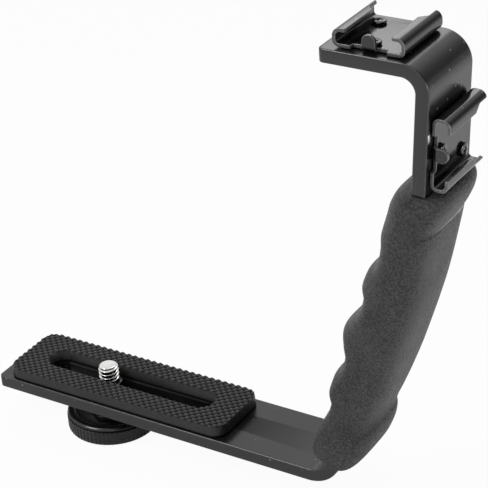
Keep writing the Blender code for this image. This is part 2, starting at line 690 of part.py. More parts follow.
def knob_profile():
    """Half section of the knob's outside: foot, ribbed wall, round rim and dished top, as (radius, height, rib)."""
    radius = KNOB_DIAMETER / 2
    foot, top = KNOB_FOOT_RADIUS, KNOB_TOP_RADIUS
    quarter = math.pi / 2
    profile = [(0.0, KNOB_FOOT, 0.0)]
    profile += [(r, z, 0.0) for r, z in arc(radius - foot, KNOB_FOOT + foot, foot, -quarter, 0.0, KNOB_ROUND_STEPS)]
    profile[-1] = (*profile[-1][:2], 1.0)
    profile.append((radius, KNOB_TOP - top, 1.0))
    rim = arc(radius - top, KNOB_TOP - top, top, 0.0, quarter, KNOB_ROUND_STEPS)
    profile += [(r, z, 0.0) for r, z in rim[1:]]
    inner = radius - KNOB_RIM_WIDTH
    profile.append((inner, KNOB_TOP, 0.0))
    profile.append((inner - KNOB_DISH_SLOPE, KNOB_TOP - KNOB_DISH_DEPTH, 0.0))
    profile.append((0.0, KNOB_TOP - KNOB_DISH_DEPTH, 0.0))
    return profile


def screw_knob(parent, finish):
    """The ribbed knob, dished on top and pocketed for the screw's hexagon core."""
    steps = 2 * KNOB_RIBS
    angles = [2.0 * math.pi * k / steps for k in range(steps)]
    bm = bmesh.new()
    rings = []
    for radius, height, rib in knob_profile():
        if radius == 0.0:
            rings.append([bm.verts.new((0.0, 0.0, height))] * steps)
            continue
        ring = []
        for k, a in enumerate(angles):
            r = radius - KNOB_RIB_DEPTH * rib * (k % 2)
            ring.append(bm.verts.new((r * math.cos(a), r * math.sin(a), height)))
        rings.append(ring)
    for low, high in zip(rings[:-1], rings[1:]):
        for i in range(steps):
            j = (i + 1) % steps
            corners = []
            for corner in (low[i], low[j], high[j], high[i]):
                if corner not in corners:
                    corners.append(corner)
            bm.faces.new(corners)
    knob = piece("screw_knob", bm, parent, finish)
    corner = (CORE_ACROSS_FLATS / 2 + SEAT_GAP) / math.cos(math.pi / 6)
    bm = bmesh.new()
    add_turned(bm, [(0.0, KNOB_FOOT - CUT_OVERRUN), (corner, KNOB_FOOT - CUT_OVERRUN), (corner, KNOB_TOP + CUT_OVERRUN),
                    (0.0, KNOB_TOP + CUT_OVERRUN)], 6)
    boolean(knob, piece("knob_pocket_cutter", bm, parent, None))
    return knob


def world_box(objects):
    """Lowest and highest corner of the finished objects."""
    graph = bpy.context.evaluated_depsgraph_get()
    points = []
    for obj in objects:
        seen = obj.evaluated_get(graph)
        points += [obj.matrix_world @ vertex.co for vertex in seen.data.vertices]
    points = np.array(points)
    return points.min(axis=0), points.max(axis=0)


def build():
    clear_scene()
    painted = material("black_paint_on_steel", (0.018, 0.018, 0.019), 0.38)
    grip_rubber = material("grip_rubber", (0.022, 0.022, 0.022), 0.62)
    pad_rubber = material("pad_rubber", (0.020, 0.020, 0.020), 0.72)
    knob_plastic = material("knob_plastic", (0.015, 0.015, 0.016), 0.35)
    bright_steel = material("bright_steel", (0.62, 0.62, 0.60), 0.25, 1.0)
    black_steel = material("blackened_steel", (0.03, 0.03, 0.032), 0.35, 1.0)
    washer_nylon = material("washer_nylon", (0.03, 0.03, 0.03), 0.5)

    root = empty("bracket")
    top_seat = empty("top_shoe_seat", root, (bar_layout()[1] - TOP_SHOE_SETBACK, 0.0, TOP_HEIGHT))
    side_seat = empty("side_shoe_seat", root, leg_seat(SIDE_SHOE_DROP), math.pi - LEG_HEADING)
    seats = (("top_shoe", top_seat), ("side_shoe", side_seat))

    made = [frame_bar(root, seats, painted), rubber_pad(root, pad_rubber), hand_grip(root, grip_rubber)]
    for name, seat in seats:
        made.append(accessory_shoe(name, seat, painted))
        for place_name, x, y in SHOE_SCREW_PLACES:
            made.append(shoe_screw(name + "_screw_" + place_name, seat, x, y, black_steel))

    slider = empty("slot_slider", root, (SCREW_AT, 0.0, 0.0))
    lifter = empty("screw_lifter", slider)
    turner = empty("knob_turner", lifter)
    made.append(retaining_clip(slider, black_steel))
    made.append(thrust_washer(lifter, washer_nylon))
    made.append(camera_screw(turner, bright_steel))
    made.append(screw_knob(turner, knob_plastic))

    bpy.context.view_layer.update()
    low, high = world_box(made)
    root.location = (-(low[0] + high[0]) / 2, -(low[1] + high[1]) / 2, -low[2])


build()
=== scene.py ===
"""A camera flash bracket: bent black bar, knurled rubber pad, moulded hand grip, two accessory shoes and a
captive camera screw, each piece worked out as a surface of its own and dressed in its finish."""
import math

import bmesh
import bpy
import numpy as np
from mathutils import Matrix, Vector


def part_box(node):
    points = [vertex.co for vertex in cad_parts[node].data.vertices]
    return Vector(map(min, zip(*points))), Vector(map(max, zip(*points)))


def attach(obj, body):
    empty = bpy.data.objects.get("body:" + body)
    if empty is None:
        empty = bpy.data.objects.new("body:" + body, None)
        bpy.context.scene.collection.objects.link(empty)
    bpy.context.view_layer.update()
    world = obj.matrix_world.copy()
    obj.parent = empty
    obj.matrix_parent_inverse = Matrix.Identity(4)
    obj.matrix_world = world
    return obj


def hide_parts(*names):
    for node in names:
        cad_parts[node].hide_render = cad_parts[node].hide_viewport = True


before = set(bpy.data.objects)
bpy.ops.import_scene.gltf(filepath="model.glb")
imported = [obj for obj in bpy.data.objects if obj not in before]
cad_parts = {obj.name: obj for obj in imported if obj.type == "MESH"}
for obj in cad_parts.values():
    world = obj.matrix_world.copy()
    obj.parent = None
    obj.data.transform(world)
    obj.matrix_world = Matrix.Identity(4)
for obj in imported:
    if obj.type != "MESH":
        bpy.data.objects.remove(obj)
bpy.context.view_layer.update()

mm = 0.001


# ---- The camera ----
# A short telephoto, about 0.6 m away, looks down on the bracket from the side of the shoes' stop tabs and of
# the gripped arm. It leans by four degrees, as the photograph does.
camera_turn, camera_height, camera_lean = (math.radians(a) for a in (33.67, 28.72, -4.03))
camera_place = Vector((278.13, -404.43, 343.13)) * mm
towards_camera = Vector((math.sin(camera_turn) * math.cos(camera_height),
                         -math.cos(camera_turn) * math.cos(camera_height), math.sin(camera_height)))
level = Vector((math.cos(camera_turn), math.sin(camera_turn), 0.0))
upright = towards_camera.cross(level)
right = math.cos(camera_lean) * level + math.sin(camera_lean) * upright
up = math.cos(camera_lean) * upright - math.sin(camera_lean) * level


def shown(name, data):
    """Put a camera, a lamp or a mesh into the scene."""
    made = bpy.data.objects.new(name, data)
    bpy.context.scene.collection.objects.link(made)
    return made


camera = shown("camera", bpy.data.cameras.new("camera"))
camera.matrix_world = Matrix.Translation(camera_place) @ Matrix((right, up, towards_camera)).transposed().to_4x4()
camera.data.sensor_width = 36.0
camera.data.lens = 143.13
camera.data.clip_start = 0.01
bpy.context.scene.camera = camera
bpy.context.scene.view_settings.view_transform = "Standard"


# ---- The table and the light ----
# A white sweep of paper under and round the bracket, one soft box high in front on the left, a small one close
# behind, and weaker ones in front and on the right. The room is white on the left and dim on the right.
def fill(tree, made, inputs):
    """Fill a node's inputs, each from a value or from another node's output."""
    for name, value in inputs.items():
        if isinstance(value, bpy.types.NodeSocket):
            tree.links.new(value, made.inputs[name])
        else:
            made.inputs[name].default_value = value


def node(tree, kind, inputs, **choices):
    """One shader node, with its own options and its inputs."""
    made = tree.nodes.new("ShaderNode" + kind)
    for name, value in choices.items():
        setattr(made, name, value)
    fill(tree, made, inputs)
    return made


def worked(tree, operation, *values):
    """What a math node makes of the values."""
    return node(tree, "Math", dict(enumerate(values)), operation=operation).outputs[0]


def ramp(tree, value, start, end, low, high, **choices):
    """Low up to start, high from end on, and a straight way between them."""
    return node(tree, "MapRange", {"Value": value, "From Min": start, "From Max": end, "To Min": low, "To Max": high},
                **choices).outputs["Result"]


def new_material(name):
    """A material, its tree, its shader and its Object coordinates."""
    made = bpy.data.materials.new(name)
    made.use_nodes = True
    tree = made.node_tree
    return made, tree, tree.nodes["Principled BSDF"], node(tree, "TexCoord", {}).outputs["Object"]


def white_where_seen(tree, seen, mirrored):
    """White for the camera's own rays and through glass, by the share seen; mirrored is the share for what
    gloss and metal show. Neither counts for the light that falls on things."""
    rays = node(tree, "LightPath", {})
    straight = worked(tree, "MAXIMUM", rays.outputs["Is Camera Ray"], rays.outputs["Is Transmission Ray"])
    return worked(tree, "MAXIMUM", worked(tree, "MULTIPLY", straight, seen),
                  worked(tree, "MULTIPLY", rays.outputs["Is Glossy Ray"], mirrored))


def skin(name, points, rings=False, lids=True):
    """A surface over a grid of points (rows, columns, xyz): each cell is a quad, the columns meet, and the rows
    either meet as well (rings) or are closed by a lid at each end."""
    rows, columns = points.shape[:2]
    number = np.arange(rows * columns).reshape(rows, columns)
    quads = np.stack([np.roll(number, step, (0, 1)) for step in ((0, 0), (0, -1), (-1, -1), (-1, 0))], -1)
    faces = quads[:rows if rings else rows - 1].reshape(-1, 4).tolist()
    if lids and not rings:
        faces += [number[0, ::-1].tolist(), number[-1].tolist()]
    mesh = bpy.data.meshes.new(name)
    mesh.from_pydata(points.reshape(-1, 3).tolist(), [], faces)
    return shown(name, mesh)


def faces_out(made, sharp=None):
    """Merge doubles, point every face outwards and shade the piece smooth, but for edges over the sharp angle."""
    work = bmesh.new()
    work.from_mesh(made.data)
    bmesh.ops.remove_doubles(work, verts=work.verts, dist=0.0005 * mm)
    bmesh.ops.recalc_face_normals(work, faces=work.faces)
    work.to_mesh(made.data)
    work.free()
    made.data.shade_smooth()
    if sharp:
        made.data.set_sharp_from_angle(angle=math.radians(sharp))


def full_turn(steps):
    """The angles of a full turn, as one row."""
    return np.linspace(0.0, 2.0 * np.pi, steps, endpoint=False)[None, :]


# The paper is a disc whose rim rises like a bowl: its height is 0.12 x (reach beyond 1 m) squared. A second,
# outer layer 1 mm below it closes it.
paper_thick, rim_rise, flat_reach = 1.0 * mm, 0.12, 1.0
reach = np.concatenate([np.linspace(0.05, flat_reach, 12), np.linspace(1.05, 3.0, 24)])
reach = np.concatenate([reach, reach[::-1]])[:, None]
under = np.repeat([0.0, paper_thick], 36)[:, None]
round_about = full_turn(96)
sweep = skin("paper_sweep", np.stack([reach * np.cos(round_about), reach * np.sin(round_about),
                                      rim_rise * np.clip(reach - flat_reach, 0.0, None) ** 2 - 0.2 * mm - under
                                      + 0.0 * round_about], -1))
paper, tree, shader, place = new_material("white_paper")
fill(tree, shader, {"Base Color": (0.93, 0.93, 0.93, 1.0), "Roughness": 0.9})
glow = node(tree, "Emission", {"Color": (1.0, 1.0, 1.0, 1.0), "Strength": 1.0})

# What gloss sees of the paper is dark close to the base's line, white beside it and dark again far off.
along_base = node(tree, "Clamp", {"Value": node(tree, "SeparateXYZ", {0: place}).outputs["X"], "Min": -0.08,
                                  "Max": 0.03})
beside = node(tree, "CombineXYZ", {"X": along_base.outputs[0]})
away = node(tree, "VectorMath", {0: place, 1: beside.outputs[0]}, operation="DISTANCE").outputs["Value"]
mirrored = worked(tree, "MULTIPLY", ramp(tree, away, 0.02, 0.1, 0.05, 0.9), ramp(tree, away, 0.7, 1.6, 1.0, 0.15))
blend = node(tree, "MixShader", {0: white_where_seen(tree, 0.95, mirrored), 1: shader.outputs[0],
                                 2: glow.outputs[0]})
fill(tree, tree.nodes["Material Output"], {"Surface": blend.outputs[0]})
sweep.data.materials.append(paper)
faces_out(sweep)

air = bpy.data.worlds.new("white_air")
bpy.context.scene.world = air
air.use_nodes = True
tree = air.node_tree
way = node(tree, "SeparateXYZ", {0: node(tree, "TexCoord", {}).outputs["Generated"]})
side = ramp(tree, way.outputs["X"], 0.0, 0.6, 0.97, 0.14, interpolation_type="SMOOTHSTEP")
strength = worked(tree, "MAXIMUM", worked(tree, "MULTIPLY", side, 0.42), white_where_seen(tree, 1.0, side))
fill(tree, tree.nodes["Background"], {"Color": (1.0, 1.0, 1.0, 1.0), "Strength": strength})


aimed_at = Vector((0.0, 0.0, 0.06))


def soft_box(name, place, size, power):
    """A square lamp that faces the bracket's middle and doesn't show itself to the camera."""
    lamp = shown(name, bpy.data.lights.new(name, "AREA"))
    lamp.data.size = size
    lamp.data.energy = power
    lamp.location = place
    lamp.rotation_euler = (aimed_at - Vector(place)).to_track_quat("-Z", "Y").to_euler()
    lamp.visible_camera = False


soft_box("left_soft_box", (-0.42, -0.52, 0.80), 0.35, 3.6)
soft_box("back_soft_box", (-0.043, 0.222, 0.319), 0.15, 0.128)
soft_box("front_soft_box", (0.45, -0.9, 0.55), 0.5, 1.3)
soft_box("right_soft_box", (0.9, 0.1, 0.25), 0.3, 2.6)


# ---- The bar ----
# Flat mild steel, 25 x 4 mm, with its edges broken, its screw slot punched and its screw holes drilled while
# it is flat. It is then bent over formers into a C and enamelled a semi-gloss black.
bar_width, bar_thickness = 25.0 * mm, 4.0 * mm
bar_edge, bar_corner = 0.42 * mm, 1.6 * mm
base_length, lower_bend, soft_bend, top_bend = 113.6 * mm, 9.3 * mm, 40.0 * mm, 6.1 * mm
arm_lean, leg_lean = math.radians(71.5), math.radians(86.47)
top_height, leg_reach, top_arm_tip = 134.0 * mm, 155.9 * mm, 123.5 * mm
slot_start, slot_end, slot_width = 17.0 * mm, 69.0 * mm, 6.8 * mm
top_shoe_at, side_shoe_drop = 137.4 * mm, 24.85 * mm
shoe_screws = np.array([[0.0, -7.1], [-5.4, 5.6], [5.4, 5.6]]) * mm
screw_hole, paint_gap = 1.3 * mm, 0.3 * mm

bar_low = np.array(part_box("frame_bar")[0])
free_end = np.array([bar_low[0], 0.0, bar_low[2] + bar_thickness])


def follow(start, heading, moves, distance):
    """Point and heading on a bent line. A run goes on by distance x (cos h, sin h); a bend turns h by its share
    of the turn, and its point is the centre plus radius x (sin h, -cos h). Distances below 0 stay at the start."""
    distance = np.asarray(distance, float)
    x, z = start
    gone = 0.0
    found = [np.full(distance.shape, value) for value in (x, z, heading)]
    for length, turn in moves:
        part = np.append(np.clip(distance - gone, 0.0, length), length)
        angle = heading + turn * part / length
        if turn:
            radius = length / turn
            here = (x + radius * (np.sin(angle) - math.sin(heading)),
                    z - radius * (np.cos(angle) - math.cos(heading)), angle)
        else:
            here = (x + part * math.cos(heading), z + part * math.sin(heading), angle)
        found = [np.where(distance >= gone, new[:-1].reshape(distance.shape), old) for new, old in zip(here, found)]
        x, z, heading = (float(value[-1]) for value in here)
        gone += length
    return found


def rounded_outline(corners, steps):
    """A closed outline and its outward directions. Each corner (a, b, radius) is an arc that touches both of its
    sides: its centre lies radius / sin(half angle) along the bisector of the corner."""
    at = np.array(corners, float)
    here, radius = at[:, :2], at[:, 2:3]
    back, ahead = np.roll(here, 1, 0) - here, np.roll(here, -1, 0) - here
    back, ahead = (v / np.linalg.norm(v, axis=1, keepdims=True) for v in (back, ahead))
    half = np.arccos(np.clip((back * ahead).sum(1, keepdims=True), -1.0, 1.0)) / 2.0
    middle = (back + ahead) / np.linalg.norm(back + ahead, axis=1, keepdims=True)
    centre = here + middle * radius / np.sin(half)
    hollow = np.sign(back[:, :1] * ahead[:, 1:] - back[:, 1:] * ahead[:, :1])
    first = here + back * radius / np.tan(half) - centre
    start = np.arctan2(first[:, 1:], first[:, :1])
    sweep_angle = -hollow * (np.pi - 2.0 * half)
    angle = start + sweep_angle * np.linspace(0.0, 1.0, steps + 1)
    direction = np.stack([np.cos(angle), np.sin(angle)], -1)
    points = centre[:, None, :] + radius[:, None, :] * direction
    return points.reshape(-1, 2), (direction * -hollow[:, None, :]).reshape(-1, 2)


def round_hole(centre, radius, steps):
    """A circle as a hole: its outward directions point to its middle."""
    angle = full_turn(steps)[0]
    direction = np.stack([np.cos(angle), np.sin(angle)], -1)
    return np.asarray(centre) + radius * direction, -direction


def points_of(mesh):
    """A mesh's points, one row for each."""
    at = np.empty(3 * len(mesh.vertices))
    mesh.vertices.foreach_get("co", at)
    return at.reshape(-1, 3)


def keep_values(mesh, name, values):
    """Keep a value of each point in an attribute that a material reads."""
    kept = mesh.attributes.get(name) or mesh.attributes.new(name, "FLOAT", "POINT")
    kept.data.foreach_set("value", values)


def folded_sheet(name, outlines, thickness, edge, lines_a, lines_b, fold, cut_rub_and_highlight=0.0):
    """A stamped and folded sheet. On the flat blank each outline is drawn in by edge x (1 - sin t) while its height
    falls by edge x (1 - cos t), which rounds both edges; the two faces are filled, the blank is scored along the
    given lines, and fold carries every point (a, b, height) to its place. An attribute is kept that is 1 on the
    rounded edges, the given cut share on the cut faces between them and 0 on the flats: the enamel paints it paler,
    partly as scuffed paint and partly as painted highlight."""
    half = thickness / 2.0
    t = np.linspace(0.0, np.pi / 2.0, 5)
    inset = np.concatenate([[2.0 * edge], edge * (1.0 - np.sin(t))])
    height = np.concatenate([[half], half - edge * (1.0 - np.cos(t))])
    inset, height = np.concatenate([inset, inset[::-1]]), np.concatenate([height, -height[::-1]])
    work = bmesh.new()
    for points, outward in outlines:
        flat = points[None] - inset[:, None, None] * outward[None]
        wall = np.concatenate([flat, np.broadcast_to(height[:, None, None], flat.shape[:2] + (1,))], -1)
        ring = skin(name, wall, lids=False)
        work.from_mesh(ring.data)
        bpy.data.meshes.remove(ring.data)
    for side in (1.0, -1.0):
        rim = [e for e in work.edges if e.is_boundary and all(abs(v.co.z - side * half) < 1e-7 for v in e.verts)]
        bmesh.ops.triangle_fill(work, edges=rim, use_beauty=True, normal=(0.0, 0.0, side))
    for lines, axis in ((lines_a, (1.0, 0.0, 0.0)), (lines_b, (0.0, 1.0, 0.0))):
        for line in lines:
            bmesh.ops.bisect_plane(work, geom=work.verts[:] + work.edges[:] + work.faces[:], dist=1e-7,
                                   plane_co=[line * share for share in axis], plane_no=axis)
    mesh = bpy.data.meshes.new(name)
    work.to_mesh(mesh)
    work.free()
    blank = points_of(mesh)
    below = (half - np.abs(blank[:, 2])) / edge
    keep_values(mesh, "rubbed_and_highlit", np.where(below > 0.95, cut_rub_and_highlight, np.clip(12.0 * below, 0.0, 1.0)))
    mesh.vertices.foreach_set("co", np.stack(fold(*blank.T), -1).reshape(-1))
    mesh.update()
    made = shown(name, mesh)
    faces_out(made)
    return made


def bar_line():
    """The bar's middle line: base, lower bend, gripped arm, soft bend, leg, top bend, top arm. The arm's length
    is where the arm's line and the leg's line cross, less the tangent of the soft bend."""
    half = bar_thickness / 2.0
    arm, leg = (np.array([math.cos(lean), math.sin(lean)]) for lean in (arm_lean, leg_lean))
    arm_start = np.array([base_length + lower_bend * math.sin(arm_lean),
                          lower_bend * (1.0 - math.cos(arm_lean)) - half])
    gap = np.array([leg_reach - half * leg[1], top_height + half * leg[0]]) - arm_start
    to_corner = (gap[0] * leg[1] - gap[1] * leg[0]) / (arm[0] * leg[1] - arm[1] * leg[0])
    corner = arm_start + to_corner * arm
    up_leg = (top_height - half - corner[1]) / leg[1]
    soft_turn, top_turn = leg_lean - arm_lean, math.pi - leg_lean
    soft_side, top_side = soft_bend * math.tan(soft_turn / 2.0), top_bend * math.tan(top_turn / 2.0)
    top_end = corner[0] + up_leg * leg[0] - top_side - top_arm_tip
    return [(base_length, 0.0), (lower_bend * arm_lean, arm_lean), (to_corner - soft_side, 0.0),
            (soft_bend * soft_turn, soft_turn), (up_leg - soft_side - top_side, 0.0),
            (top_bend * top_turn, top_turn), (top_end, 0.0)]


bar_moves = bar_line()
bar_ends = np.cumsum([0.0] + [length for length, _ in bar_moves])


def on_bar(along, across, out):
    """A point of the bar: out from the middle line's point by (sin h, -cos h), across along Y."""
    x, z, heading = follow((0.0, -bar_thickness / 2.0), 0.0, bar_moves, along)
    return (free_end[0] + x + out * np.sin(heading), across, free_end[2] + z - out * np.cos(heading))


leg_foot = np.array(follow((0.0, -bar_thickness / 2.0), 0.0, bar_moves, bar_ends[4])[:2])
leg_way = np.array([math.cos(leg_lean), math.sin(leg_lean)])
side_seat = np.array([leg_reach, top_height]) - side_shoe_drop * leg_way
side_seat_along = bar_ends[4] + (side_seat - leg_foot) @ leg_way
top_seat_along = bar_ends[-1] - (top_shoe_at - top_arm_tip)


def rounded_strip(start, end, width, corner, steps):
    """The outline of a strip with four round corners."""
    return rounded_outline([(start, -width / 2, corner), (end, -width / 2, corner), (end, width / 2, corner),
                            (start, width / 2, corner)], steps)


slot_points, slot_out = rounded_strip(slot_start - slot_width / 2, slot_end + slot_width / 2, slot_width,
                                      0.499 * slot_width, 12)
bar_outlines = [rounded_strip(0.0, bar_ends[-1], bar_width, bar_corner, 10), (slot_points, -slot_out)]
for seat_along in (top_seat_along, side_seat_along):
    for x, y in shoe_screws:
        bar_outlines.append(round_hole((seat_along - x, y), screw_hole, 28))

bar_scores = np.concatenate([np.linspace(bar_ends[k], bar_ends[k + 1], steps + 1)
                             for k, steps in ((1, 24), (3, 10), (5, 26))])
bar = folded_sheet("bent_bar", bar_outlines, bar_thickness, bar_edge, bar_scores, [], on_bar)


def noise(tree, place, scale, detail, rough):
    """A cloud noise."""
    return node(tree, "TexNoise", {"Vector": place, "Scale": scale, "Detail": detail,
                                   "Roughness": rough}).outputs["Fac"]


def attribute(tree, name):
    """A value kept in the mesh's points; 0 where there is none."""
    return node(tree, "Attribute", {}, attribute_name=name).outputs["Fac"]


def covered(tree, share, under, colour):
    """The colour under, covered by another one by its share."""
    return node(tree, "Mix", {0: share, 6: under, 7: (*colour, 1.0)}, data_type="RGBA").outputs[2]


def tinted(tree, colour, shade):
    """A colour times a shade."""
    return node(tree, "Mix", {0: 1.0, 6: (*colour, 1.0), 7: shade}, data_type="RGBA",
                blend_type="MULTIPLY").outputs[2]


def bumped(tree, height, strength, distance):
    """The normal of a surface with this relief."""
    return node(tree, "Bump", {"Height": height, "Strength": strength, "Distance": distance}).outputs["Normal"]


def enamel(name, colour, roughness, peel, rub_and_highlight_colour, rub_and_highlight_share, shine, chip=None):
    """Black paint on metal: faint cloudiness in colour and gloss, the orange peel of a sprayed coat, sparse dust
    nibs, edges painted paler where the edge attribute and a fine noise agree, which is partly scuffed paint and
    partly painted highlight, no gloss where the dull attribute is 1, and a chip down to bright steel, given by its
    place and half sizes: its rim is where |offset / half sizes| meets a fine noise."""
    made, tree, shader, place = new_material(name)
    cloud, fine = noise(tree, place, 60.0, 4.0, 0.6), noise(tree, place, 1300.0, 3.0, 0.7)
    speck = node(tree, "TexVoronoi", {"Vector": place, "Scale": 480.0})
    few = node(tree, "SeparateColor", {"Color": speck.outputs["Color"]}).outputs["Red"]
    nib = worked(tree, "LESS_THAN", speck.outputs["Distance"], ramp(tree, few, 0.8, 1.0, 0.05, 0.2))
    # Painted highlight, partly scuffed paint: the edge attribute times a fine noise lays a paler colour on the edges.
    rub_and_highlight = worked(tree, "MULTIPLY", attribute(tree, "rubbed_and_highlit"), ramp(tree, fine, 0.35, 0.6, 0.45, 1.0))
    paint = tinted(tree, colour, ramp(tree, cloud, 0.3, 0.7, 0.9, 1.1))
    paint = covered(tree, worked(tree, "MULTIPLY", rub_and_highlight, rub_and_highlight_share), paint, rub_and_highlight_colour)
    paint = covered(tree, nib, paint, (0.15, 0.15, 0.15))
    if chip:
        away = node(tree, "VectorMath", {0: place, 1: chip[0]}, operation="SUBTRACT").outputs[0]
        away = node(tree, "VectorMath", {0: away, 1: chip[1]}, operation="DIVIDE").outputs[0]
        away = node(tree, "VectorMath", {0: away}, operation="LENGTH").outputs["Value"]
        bare = worked(tree, "LESS_THAN", away, worked(tree, "MULTIPLY", fine, 1.6))
        paint = covered(tree, bare, paint, (0.82, 0.82, 0.80))
        fill(tree, shader, {"Metallic": bare})
    fill(tree, shader, {"Base Color": paint,
                        "Specular IOR Level": ramp(tree, attribute(tree, "dull"), 0.0, 1.0, shine, 0.0),
                        "Roughness": ramp(tree, cloud, 0.3, 0.7, roughness * 0.88, roughness * 1.12),
                        "Normal": bumped(tree, noise(tree, place, 1500.0, 2.0, 0.5), peel, 0.05 * mm)})
    return made


# The paint inside the slot is thin and dull, but for three glints on its far edge.
glint_places, glint_reach = (17.9 * mm, 52.1 * mm, 59.4 * mm), 0.7 * mm
along_x, aside_y = points_of(bar.data).T[:2]
along_x = along_x - free_end[0]
glints = sum(np.exp(-((along_x - x) / glint_reach) ** 2) for x in glint_places)
in_slot = ((np.abs(aside_y) < slot_width / 2 + 0.95 * bar_edge) & (along_x > slot_start - slot_width)
           & (along_x < slot_end + slot_width))
keep_values(bar.data, "dull", np.where(in_slot, 1.0 - 0.9 * np.clip(glints, 0.0, 1.0), 0.0))
# Painted highlight: in the slot the paler edge colour is kept only near the three glints.
rubbed_and_highlit = np.empty(len(along_x))
bar.data.attributes["rubbed_and_highlit"].data.foreach_get("value", rubbed_and_highlit)
keep_values(bar.data, "rubbed_and_highlit", np.where(in_slot, rubbed_and_highlit * glints, rubbed_and_highlit))

# One chip on the leg's outer edge, above the side shoe.
chip = [float(v) for v in on_bar(side_seat_along + 5.0 * mm, -11.4 * mm, bar_thickness / 2)]
# The bar's edges are painted a little paler: partly scuffed paint, partly painted highlight.
bar.data.materials.append(enamel("bar_enamel", (0.0075, 0.0075, 0.0078), 0.23, 0.12, (0.065, 0.065, 0.065),
                                 0.6, 0.62, (chip, (0.5 * mm, 0.85 * mm, 1.8 * mm))))
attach(bar, "bracket")
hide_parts("frame_bar")


# ---- The rubber pad ----
# Black rubber, 3.7 mm thick, glued on the base. Its top is moulded with small diamond pyramids on a 1.7 mm
# pitch that run right out to the edges, and it has a round-ended slot for the screw's clip.
pad_start, pad_end, pad_half, pad_height = 3.2 * mm, 83.5 * mm, 11.8 * mm, 4.0 * mm
pad_thick, pad_draft, pad_corner, pad_slot = 3.7 * mm, 0.35 * mm, 4.5 * mm, 9.0 * mm
knurl_depth, knurl_per_mm, slot_round = 0.55 * mm, 0.4145 / mm, 0.15 * mm
knurl_shift, knurl_aside, shaded_foot_depth = 0.3 * mm, 0.613 * mm, 3.4 * mm


def knurl(x, y):
    """Height of the diamond knurl, 0 to 1: the lesser of two triangle waves that run along the two diagonals,
    stretched and clipped so that each pyramid has a small flat on top, less a pit where two valleys cross."""
    waves = [1.0 - np.abs(2.0 * ((knurl_per_mm * (x + knurl_shift + side * (y + knurl_aside))) % 1.0) - 1.0)
             for side in (1.0, -1.0)]
    low, high = np.minimum(*waves), np.maximum(*waves)
    return np.clip(1.3 * low - 0.05, 0.0, 1.0) * 0.65 + 0.35 * np.clip(1.3 * high, 0.0, 1.0)


def pad_mesh():
    """The pad's top as a grid that is drawn in to its outline. At each x, y runs from the slot's edge, which is
    sqrt(r squared - dx squared) wide at its round ends, to the outline's edge; cells beyond either edge shrink
    to nothing and go. Its rim is then let down to the foot, which stands out by the draft."""
    start, end, half, corner = (pad_start + pad_draft, pad_end - pad_draft, pad_half - pad_draft,
                                pad_corner - pad_draft)
    x = np.linspace(start, end, 490)[:, None]
    into_corner = np.clip(np.maximum(start + corner - x, x - end + corner), 0.0, corner)
    edge = half - corner + np.sqrt(corner ** 2 - into_corner ** 2)
    r = pad_slot / 2.0 + slot_round
    past_slot = np.maximum(slot_start - x, x - slot_end)
    hole = np.where(past_slot < r, np.sqrt(np.clip(r ** 2 - np.clip(past_slot, 0.0, r) ** 2, 0.0, None)), 0.0)
    y = np.clip(np.linspace(0.0, half, 73)[None, :], hole, edge)
    xx = np.broadcast_to(x, y.shape)
    halves = [np.stack([free_end[0] + xx, side * y,
                        free_end[2] + pad_height - knurl_depth * (1.0 - knurl(xx, side * y))], -1)
              for side in (1.0, -1.0)]
    number = np.arange(y.size).reshape(y.shape)
    quads = np.stack([number[:-1, :-1], number[1:, :-1], number[1:, 1:], number[:-1, 1:]], -1).reshape(-1, 4)
    points = np.concatenate([h.reshape(-1, 3) for h in halves])
    quads = np.concatenate([quads, quads[:, ::-1] + y.size])
    _, first, same = np.unique(np.round(points / (0.0005 * mm)).astype(np.int64), axis=0, return_index=True,
                               return_inverse=True)
    points, quads = points[first], same.reshape(-1)[quads]
    corners = [list(dict.fromkeys(quad)) for quad in quads.tolist()]
    mesh = bpy.data.meshes.new("rubber_pad_knurled")
    mesh.from_pydata(points.tolist(), [], [corner for corner in corners if len(corner) > 2])
    return mesh


def lowered(rim, slot_in, outline_out, slot_high, outline_high):
    """The rim's next row: the slot's rim moves in towards the slot's middle line, the outline's rim moves out
    from the corner's centre, and each goes down to a height of its own."""
    x, y = rim[:, 0] - free_end[0], rim[:, 1]
    in_slot = (np.abs(y) < pad_slot / 2 + 2 * slot_round) & (x > slot_start - pad_slot) & (x < slot_end + pad_slot)
    middle_x = np.where(in_slot, np.clip(x, slot_start, slot_end),
                        np.clip(x, pad_start + pad_corner, pad_end - pad_corner))
    middle_y = np.where(in_slot, 0.0, np.clip(y, pad_corner - pad_half, pad_half - pad_corner))
    away = np.maximum(np.hypot(x - middle_x, y - middle_y), 1e-9)
    grown = 1.0 + np.where(in_slot, -slot_in, outline_out) / away
    return np.stack([free_end[0] + middle_x + grown * (x - middle_x), middle_y + grown * (y - middle_y),
                     free_end[2] + np.where(in_slot, slot_high, outline_high)], -1)


def let_down(mesh, levels):
    """Let the rim of the open top down in rows: each level lowers the row above, and the last row is filled."""
    work = bmesh.new()
    for level in levels:
        work.from_mesh(mesh)
        kept = len(work.verts)
        bmesh.ops.extrude_edge_only(work, edges=[e for e in work.edges if e.is_boundary])
        work.to_mesh(mesh)
        work.clear()
        at = points_of(mesh)
        at[kept:] = lowered(at[kept:], *level)
        mesh.vertices.foreach_set("co", at.reshape(-1))
    work.from_mesh(mesh)
    bmesh.ops.triangle_fill(work, edges=[e for e in work.edges if e.is_boundary], use_beauty=True,
                            normal=(0.0, 0.0, -1.0))
    work.to_mesh(mesh)
    work.free()


